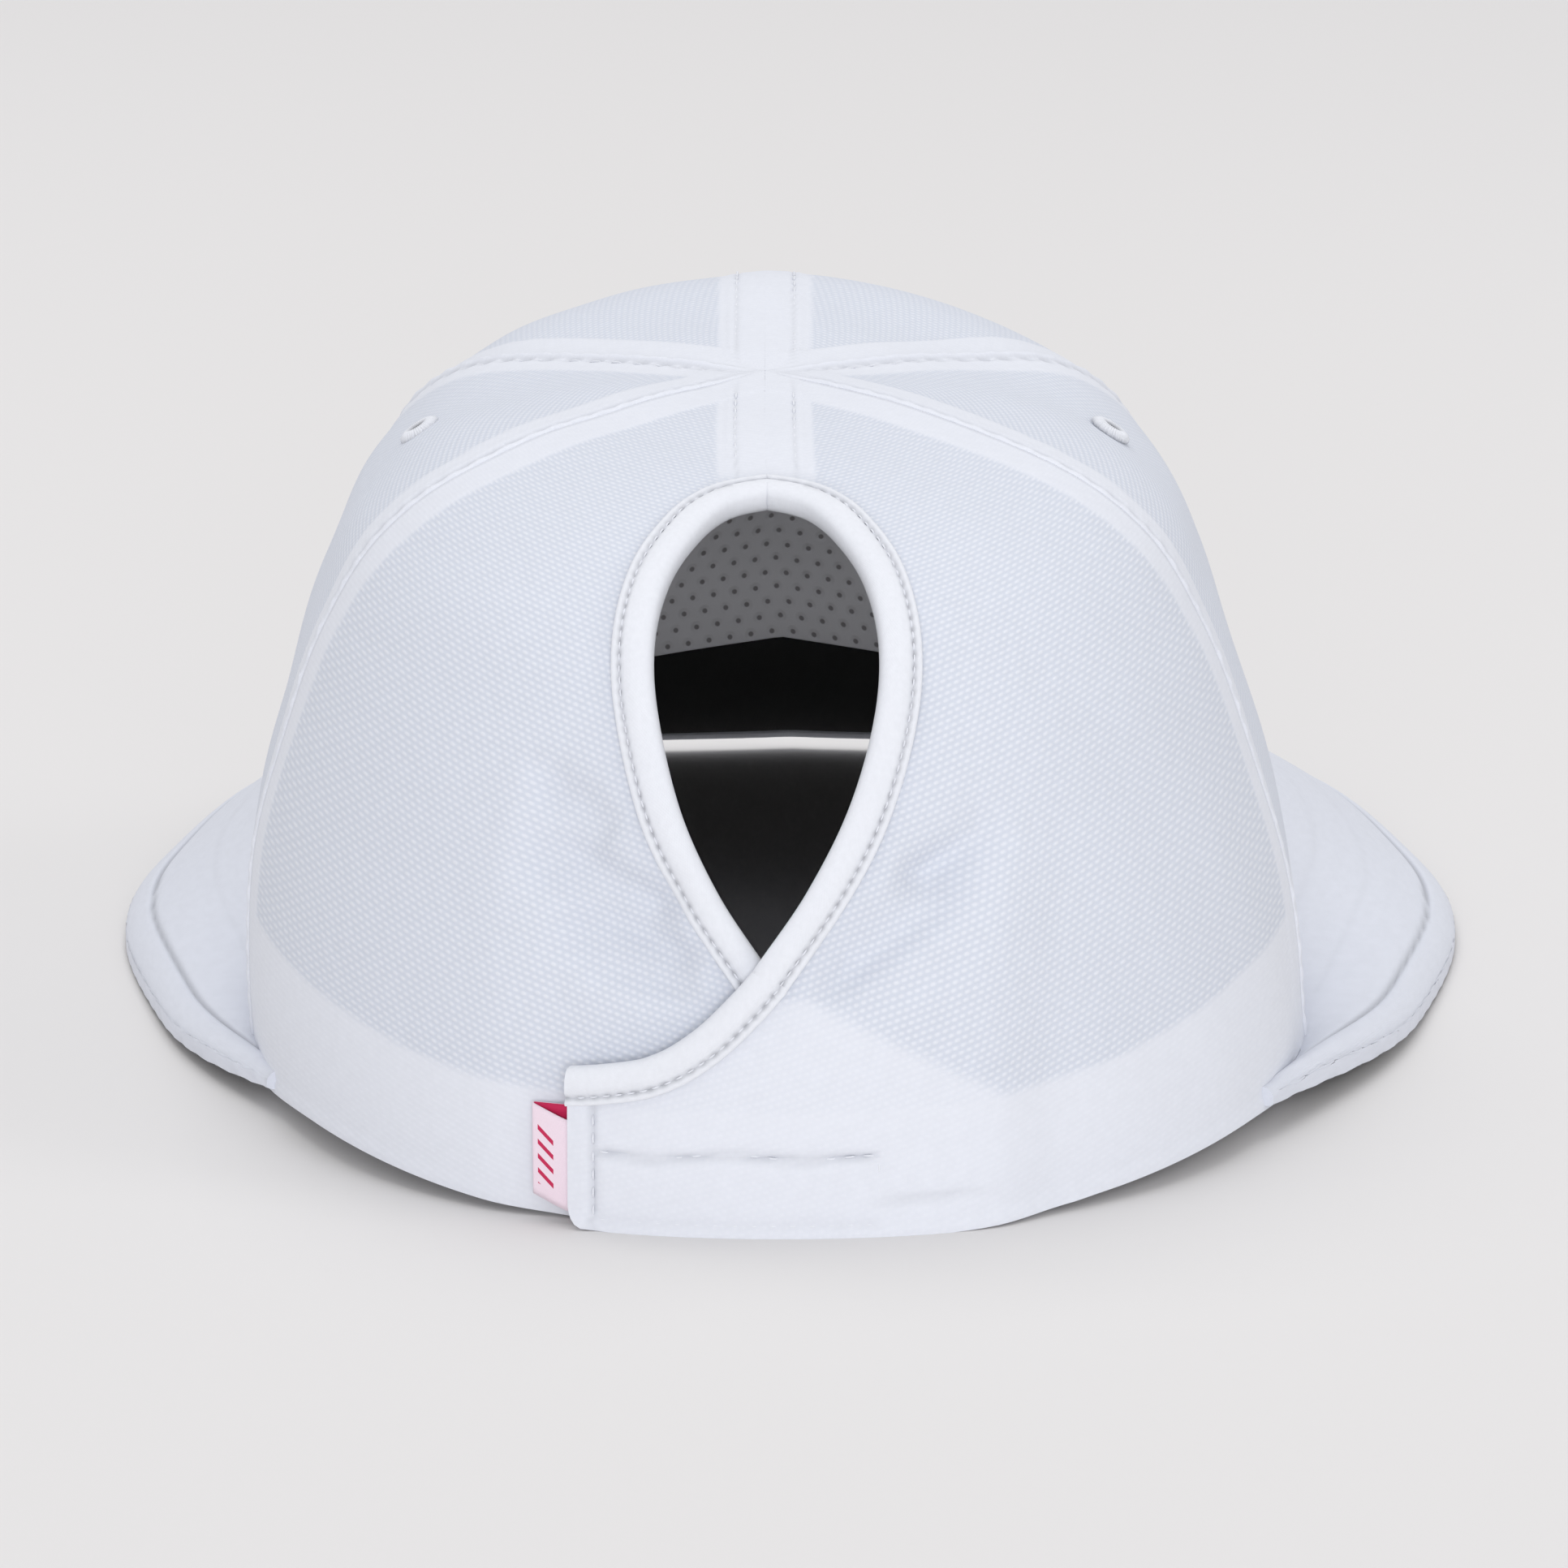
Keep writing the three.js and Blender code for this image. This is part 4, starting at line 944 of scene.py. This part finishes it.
def seam_tape(hand, side, which, column):
    low = float(band_top(seam_turn(column, 0.0)))
    climb = np.linspace(low, SIDE_TAPE_TOP, 70)[:, None] + np.zeros(12)
    line = seam_turn(column, climb)
    across = np.linspace(-0.5, 0.5, 12) * SEAM_TAPE_WIDTH
    turn = side * (line + across / reach_at(line, climb))
    tape_piece("tape_" + which + "_seam_" + hand, "seam_tape_" + which + "_" + hand, (turn, climb),
               UNDER_PANEL, TAPE, TWILL_TAPE)


for hand, side in (("left", 1), ("right", -1)):
    seam_tape(hand, side, "front", 2)
    seam_tape(hand, side, "back", 1)


def climb_for_reach(turn, reach):
    low, high = np.full(np.shape(turn), 0.3), np.ones(np.shape(turn))
    for _ in range(24):
        middle = (low + high) / 2
        wide = reach_at(turn, middle) > reach
        low, high = np.where(wide, middle, low), np.where(wide, high, middle)
    return low


def centre_tape():
    shoulder = 0.5
    across = np.linspace(-0.5, 0.5, 12) * SEAM_TAPE_WIDTH
    low = np.linspace(float(band_top(np.pi)), shoulder, 20)[:, None] + 0 * across
    low_turn = np.pi - across / reach_at(np.pi + 0 * low, low)
    turn, climb = np.zeros(1), np.full(1, TOP_CLIMB)
    _, tip_climb = shift_spot(turn, climb, rising(turn, climb), BINDING_WIDTH)
    back_end = float(smooth_point(0.0, tip_climb)[0, 1]) - 2 * LAYER_GAP
    y = np.linspace(float(smooth_point(np.pi, shoulder)[1]), back_end, 90)[1:, None] + 0 * across
    high_turn = np.arctan2(across + 0 * y, y)
    high = climb_for_reach(high_turn, np.hypot(across, y))
    spots = np.concatenate([low_turn, high_turn % (2 * np.pi)]), np.concatenate([low, high])
    tape_piece("tape_centre_seam", "seam_tape_centre", spots, UNDER_PANEL, TAPE, TWILL_TAPE)


def sweatband():
    turn = np.linspace(BAND_START, BAND_END, 300) + np.zeros((16, 1))
    share = np.linspace(0, 1, 16)[:, None]
    height = mix(LAYER_GAP, band_height(turn), share)
    climb = climb_at(turn, rim_height(turn) + height)
    tape_piece("punched_sweatband", "sweatband", (turn, climb),
               UNDER_PANEL, BAND, PUNCHED)


def back_strip(name, node_name, out, material):
    """One of the two fastening strips, which lie behind each other under the tab."""
    left = TAB_REACH - LABEL_SEWN_IN - 2 * LAYER_GAP
    across = np.linspace(left - STRIP_LENGTH, left, 60) + np.zeros((18, 1))
    height = np.linspace(STRIP_FLOOR_GAP, STRIP_FLOOR_GAP + STRIP_HEIGHT, 18)
    climb = climb_at(0.0, height)[:, None] + 0 * across
    tape_piece(name, node_name, (turn_for(across, climb), climb), out, TAPE, material)


centre_tape()
sweatband()
UNDER_TAB = TAB_OUT - CLOTH - LAYER_GAP
back_strip("nylon_hook_strip", "hook_strip", UNDER_TAB, HOOK_NYLON)
back_strip("nylon_loop_strip", "loop_strip", UNDER_TAB - TAPE - LAYER_GAP, LOOP_NYLON)


# Stitched lines on the crown
def on_crown(turn, climb, lift):
    return crown_point(turn, climb, lift), outwards(turn, climb)


def seam_stitches():
    lines = []
    for side in (1, -1):
        for column in (1, 2):
            climb = np.linspace(0.03, 0.96, 160)
            line = seam_turn(column, climb)
            toward = 1 if column == 1 else -1
            turn = side * (line + toward * RIDGE_LINE / reach_at(line, climb))
            lines.append(on_crown(turn, climb, -0.32 + 0 * turn))
        climb = np.linspace(0.03, 0.955, 160)
        turn = np.pi - side * TAPED_LINE / reach_at(np.pi + 0 * climb, climb)
        lines.append(on_crown(turn, climb, 0 * climb))
        climb = np.linspace(TOP_CLIMB + 0.045, 0.955, 40)
        turn = edge_turn(side, climb) + side * TAPED_LINE / reach_at(0.0, climb)
        lines.append(on_crown(turn, climb, 0 * climb))
    stitches("stitches_crown_seams", lines, pitch=3.6, length=2.5, thick=0.3)


def tab_line(across, height, out):
    across, height = np.broadcast_arrays(np.asarray(across, float), np.asarray(height, float))
    climb = climb_at(0.0, height)
    return on_crown(turn_for(across, climb), climb, out + 0 * across)


def tab_stitches():
    left, right, low = PATCH_LEFT, PATCH_RIGHT, PATCH_LOW
    steps = np.linspace(0, 1, 60)
    lines = [
        tab_line(mix(left, right, steps), low, TAB_OUT + 0.05),
        tab_line(mix(left, right, steps), patch_top(mix(left, right, steps)), TAB_OUT - 0.6),
        tab_line(right, mix(low, PATCH_HIGH, steps), TAB_OUT - 0.2),
        tab_line(left, mix(1.5, TAB_HEIGHT - 4.5, steps), TAB_OUT + 0.02),
    ]
    stitches("stitches_tab", lines, pitch=2.6, length=1.7, thick=0.3)


seam_stitches()
tab_stitches()


# Label: a ribbon folded into a loop, pale outside and crimson inside, its ends sewn under the tab
def label():
    top = LABEL_FLOOR_GAP + LABEL_HEIGHT
    left = TAB_REACH + LABEL_SHOWN
    ribbon = 0.22
    sewn, bent = TAB_REACH - LABEL_SEWN_IN, left - 0.5
    back_out, front_out = UNDER_TAB - TAPE + 0.25, UNDER_TAB - TAPE + 0.85
    steps = np.linspace(0, 1, 18)
    angle = np.linspace(-np.pi / 2, np.pi / 2, 9)[1:-1]
    back = np.stack([mix(sewn, bent, steps), back_out + 0 * steps], -1)
    middle = (back_out + front_out) / 2
    bend = np.stack([bent + 0.38 * np.cos(angle), middle + (front_out - middle) * np.sin(angle)], -1)
    front = np.stack([mix(bent, sewn, steps), front_out + 0 * steps], -1)
    front[:, 1] += 0.5 * ease((left - front[:, 0]) / 5) * ease((front[:, 0] - TAB_REACH + 0.6) / 1.2)
    path = np.concatenate([back, bend, front])
    tangent = unit(np.gradient(path, axis=0))
    side_step = np.stack([tangent[:, 1], -tangent[:, 0]], -1) * ribbon / 2
    heights = np.linspace(LABEL_FLOOR_GAP, top, 14)

    # the ribbon is folded a little askew, so its front layer hangs lower than the back one
    from_fold = np.clip((left - path[:, 0]) / LABEL_SHOWN, 0, 1.2)
    askew = from_fold * np.where(np.arange(len(path)) < 22, 0.5, -1.7)

    def skin(offset):
        across = (path + offset)[:, 0]
        out = (path + offset)[:, 1]
        climb = climb_at(0.0, heights[:, None] + askew)
        return crown_point(turn_for(across + 0 * climb, climb), climb, out + 0 * climb)

    outer, inner = skin(side_step), skin(-side_step)
    points, faces = shell(outer, inner)
    flat = np.stack([lengths_along(outer, 1), lengths_along(outer, 0)], -1)
    piece = mesh_piece("satin_loop_label", points, faces, LABEL_PINK, both_sides(flat))
    piece.data.materials.append(LABEL_CRIMSON)
    grid = (len(heights) - 1) * (len(path) - 1)
    for k, polygon in enumerate(piece.data.polygons):
        polygon.material_index = 1 if grid <= k < 2 * grid else 0
    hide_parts("loop_label")


label()


# Eyelets: satin stitches sewn round a punched hole
def eyelet(hand, side):
    turn, climb = side * math.radians(EYELET_TURN), EYELET_CLIMB
    centre = crown_point(np.array(turn), np.array(climb), np.array(LAYER_GAP - 0.25))
    normal = outwards(np.array(turn), np.array(climb))
    across = unit(np.cross(normal, [0, 0, 1.0]))
    up = np.cross(across, normal)
    around = np.linspace(0, 2 * np.pi, 240, endpoint=False)
    threads = np.abs(np.cos(around * 20))
    ragged = 0.12 * np.sin(around * 20) * np.cos(around * 7 + side)
    section = [
        (1.1, -1.3), (0.95, -0.4), (1.0, 0.25), (1.3, 0.7), (1.85, 0.9), (2.5, 0.72), (3.0, 0.3),
        (3.15, -0.1), (2.9, -0.3), (1.3, -1.3),
    ]
    points = []
    for radius, lift in section:
        edge = radius + (ragged + 0.1 * threads) * (radius > 2.6)
        high = lift * EYELET_WALL + 0.12 * threads * (lift > 0.2)
        ring = centre + np.outer(np.cos(around) * edge, across) + np.outer(np.sin(around) * edge, up)
        points.append(ring + high[:, None] * normal)
    size, rings = len(around), len(section)
    faces = []
    for r in range(rings):
        for k in range(size):
            n, q = (k + 1) % size, (r + 1) % rings
            faces.append((r * size + k, r * size + n, q * size + n, q * size + k))
    points = np.concatenate(points)
    faces = face_out(points, faces)
    # painted shade: the thread lining the hole is darkened almost to black, and the eyelet's outer edge and
    # underside a little
    shade = np.repeat([2.6, 2.6, 2.4, 0.6, 0.0, 0.1, 0.35, 0.9, 0.9, 1.0], size)
    marks = {"seam": shade}
    piece = mesh_piece("sewn_eyelet_" + hand, points, faces, WHITE_THREAD, marks=marks)
    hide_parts("eyelet_" + hand)
    return centre, normal


def punch(panel, centre, normal):
    """Cuts the eyelet's hole through its panel."""
    bpy.ops.mesh.primitive_cylinder_add(vertices=32, radius=EYELET_PUNCH * MM, depth=8 * MM)
    tool = bpy.context.object
    tool.location = Vector((centre + CROWN_AT) * MM)
    tool.rotation_mode = "QUATERNION"
    tool.rotation_quaternion = Vector(normal).to_track_quat("Z", "Y")
    bpy.context.view_layer.update()
    cut = panel.modifiers.new("eyelet_hole", "BOOLEAN")
    cut.object, cut.operation, cut.solver = tool, "DIFFERENCE", "EXACT"
    graph = bpy.context.evaluated_depsgraph_get()
    made = bpy.data.meshes.new_from_object(panel.evaluated_get(graph))
    panel.modifiers.clear()
    panel.data = made
    bpy.data.objects.remove(tool)


for hand, side in (("left", 1), ("right", -1)):
    punch(cap_pieces["side_panel_" + hand], *eyelet(hand, side))


# Peak
def turn_at_back(back):
    """The turn at which the rim lies this far behind the crown's axis."""
    low, high = np.pi / 4, np.pi / 2
    for _ in range(24):
        middle = (low + high) / 2
        if smooth_point(middle, 0.0)[1] > back:
            low = middle
        else:
            high = middle
    return low


LEFT_CORNER = turn_at_back(PEAK_CORNER_BACK - PEAK_CORNER_SKEW)
RIGHT_CORNER = turn_at_back(PEAK_CORNER_BACK + PEAK_CORNER_SKEW)


def peak_point(around, outward, above):
    """A spot on the peak: around from -1 to 1, outward from the crown's rim to the edge, mm above."""
    along, side = np.abs(around), np.where(around < 0, -1.0, 1.0)
    turn = side * (np.pi - along * (np.pi - np.where(around < 0, RIGHT_CORNER, LEFT_CORNER)))
    away = outwards(turn, 0 * turn)
    root = smooth_point(turn, 0 * turn) - away * PEAK_SEWN_IN
    root[..., 2] += PEAK_SEAT
    near = np.clip((along - PEAK_CORNER_FROM) / (1 - PEAK_CORNER_FROM), 0, 1)
    edge = np.stack([
        side * look_up(PEAK_EDGE, 1, along) * PEAK_WIDTH / 2 + PEAK_ASIDE,
        PEAK_CORNER_BACK - look_up(PEAK_EDGE, 2, along) * (PEAK_FRONT + PEAK_CORNER_BACK),
        np.maximum(0, look_up(PEAK_EDGE, 3, along)) * PEAK_TIP_LIFT + root[..., 2] * near**2,
    ], -1)
    edge = mix(edge, root + away * (PEAK_CORNER_WIDTH + PEAK_ROOT_GAP), near[..., None] ** 8)
    length = np.hypot(edge[..., 0] - root[..., 0], edge[..., 1] - root[..., 1])
    point = mix(root, edge, outward[..., None])
    camber = PEAK_CAMBER * np.minimum(1, length / (PEAK_FRONT - FRONT_REACH))
    point[..., 2] += above + camber * 4 * outward * (1 - outward)
    return point, length


def distance_to_edge(point):
    """How far points of the peak lie from its outer edge, seen from above."""
    line = np.linspace(-1, 1, 1400)
    edge, _ = peak_point(line, 1 + 0 * line, 0.0)
    flat = point.reshape(-1, 3)[:, :2]
    parts = np.array_split(flat, 60)
    nearest = [np.sqrt(((part[:, None] - edge[None, :, :2]) ** 2).sum(-1).min(1)) for part in parts]
    return np.concatenate(nearest).reshape(point.shape[:-1])


PEAK_ROWS = (14.0, 22.0, 30.0, 38.0, 46.0, 54.0, 62.0)  # the sewn rows' distances from the edge


def rolled(from_edge, radius, drop):
    """How far a surface drops towards an edge that is rolled round."""
    within = 1 - np.clip(from_edge / radius, 0, 1)
    return drop * (1 - np.sqrt(np.clip(1 - within**2, 0, 1)))


def peak_cover():
    """The white cover: it arches over the peak, is seamed near the edge and turned in under it."""
    bottom, wall = PEAK_UNDER_WALL + 0.05, PEAK_TOP_WALL + 0.25
    outward = np.concatenate([np.linspace(0, 0.84, 30), np.linspace(0.843, 1, 48)])[:, None]
    around = np.linspace(-1, 1, 380) + 0 * outward
    outward = outward + 0 * around
    place, length = peak_point(around, outward, 0.0)
    from_edge = distance_to_edge(place)
    inset = ease((length - 6) / 10)
    seam = bump_at(from_edge - PEAK_WELT, 0.4) * inset
    puffy = 0.45 * ease((PEAK_WELT - from_edge) / 1.4) * inset
    rows = sum(bump_at(from_edge - gap, 0.5) for gap in PEAK_ROWS)
    rows = rows * ease((outward - 0.04) / 0.05)
    above = bottom + wall - 0.4 * seam + puffy - 0.06 * rows - rolled(from_edge, 2.2, 1.55)
    high, _ = peak_point(around, outward, above)
    turned_in = ease(((outward - 1) * length + PEAK_TURNED_UNDER + 0.6) / 0.4)
    low, _ = peak_point(around, outward, mix(bottom, rolled(from_edge, 1.2, 0.6), turned_in))
    flat = np.stack([lengths_along(high, 1), lengths_along(high, 0)], -1)
    points, faces = shell(high, low)
    shade = np.concatenate([(seam + 0.1 * rows).ravel(), np.zeros(seam.size)])
    marks = {"seam": shade}
    piece = mesh_piece("twill_peak_top", points, faces, PEAK_TWILL, both_sides(flat), marks)
    piece.data.set_sharp_from_angle(angle=math.radians(50))
    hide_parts("peak_top")


def peak_lining():
    """The black underside, set inside the cover's turned edge."""
    around = np.linspace(-1, 1, 300) + np.zeros((26, 1))
    _, length = peak_point(around, 1 + 0 * around, 0.0)
    outward = np.linspace(0, 1, 26)[:, None] * np.clip(1 - (PEAK_TURNED_UNDER + 1) / length, 0.1, 1)
    high, _ = peak_point(around, outward, PEAK_UNDER_WALL)
    low, _ = peak_point(around, outward, 0.0)
    flat = np.stack([lengths_along(low, 1), lengths_along(low, 0)], -1)
    points, faces = shell(high, low)
    piece = mesh_piece("twill_peak_underside", points, faces, UNDERPEAK, both_sides(flat))
    piece.data.set_sharp_from_angle(angle=math.radians(50))
    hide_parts("peak_underside")


peak_cover()
peak_lining()


# Floor, light and camera
def pale_floor():
    """Matt studio paper, warm pale grey, with hardly any grit."""
    bpy.ops.mesh.primitive_plane_add(size=14)
    floor = bpy.context.object
    floor.name = "floor"
    paper = "#E3E1E0"
    material, tree, shader = start_material("studio_paper", paper, 0.75)
    grit = node(tree, "ShaderNodeTexNoise", {"Scale": 30.0, "Detail": 4.0}).outputs["Fac"]
    even = node(tree, "ShaderNodeMapRange", (grit, 0.3, 0.7, 0.995, 1.0))
    final = node(tree, "ShaderNodeVectorMath", {0: linear(paper)[:3], 3: even}, operation="SCALE")
    tree.links.new(final.outputs[0], shader.inputs["Base Color"])
    floor.data.materials.append(material)


def lamp(name, place, target, size, power, colour):
    data = bpy.data.lights.new(name, "AREA")
    data.shape, data.size, data.energy, data.color = "SQUARE", size, power, colour
    made = bpy.data.objects.new(name, data)
    bpy.context.scene.collection.objects.link(made)
    made.location = place
    made.rotation_mode = "QUATERNION"
    made.rotation_quaternion = (Vector(target) - Vector(place)).to_track_quat("-Z", "Y")


def studio():
    world = bpy.data.worlds.new("studio")
    world.use_nodes = True
    sky = world.node_tree.nodes["Background"]
    sky.inputs["Color"].default_value = (0.975, 0.98, 1.0, 1.0)
    sky.inputs["Strength"].default_value = 0.68
    bpy.context.scene.world = world
    bpy.context.scene.view_settings.view_transform = "Standard"
    middle = (CROWN_AT[0] * MM, CROWN_AT[1] * MM, 0.05)
    lamp("overhead", (0.2, -0.5, 1.9), middle, 1.6, 14.0, (1.0, 1.0, 1.0))
    lamp("right_key", (-1.7, 0.7, 1.25), middle, 0.7, 4.0, (1.0, 0.995, 0.985))
    lamp("low_fill", (0.0, 2.5, 0.3), middle, 1.0, 27.0, (0.98, 0.985, 1.0))


def camera():
    """14 degrees above level, 1.3 m from the cap, with a long lens."""
    raised, distance = math.radians(14), 1300
    target = np.array([CROWN_AT[0] - 2.8, CROWN_AT[1], 40.0])
    place = target + distance * np.array([0, math.cos(raised), math.sin(raised)])
    data = bpy.data.cameras.new("camera")
    data.lens, data.sensor_width = 201.2, 36.0
    data.clip_start, data.clip_end = 0.05, 60.0
    made = bpy.data.objects.new("camera", data)
    bpy.context.scene.collection.objects.link(made)
    made.location = Vector(place * MM)
    made.rotation_mode = "QUATERNION"
    made.rotation_quaternion = Vector(target - place).to_track_quat("-Z", "Y")
    bpy.context.scene.camera = made


pale_floor()
studio()
camera()
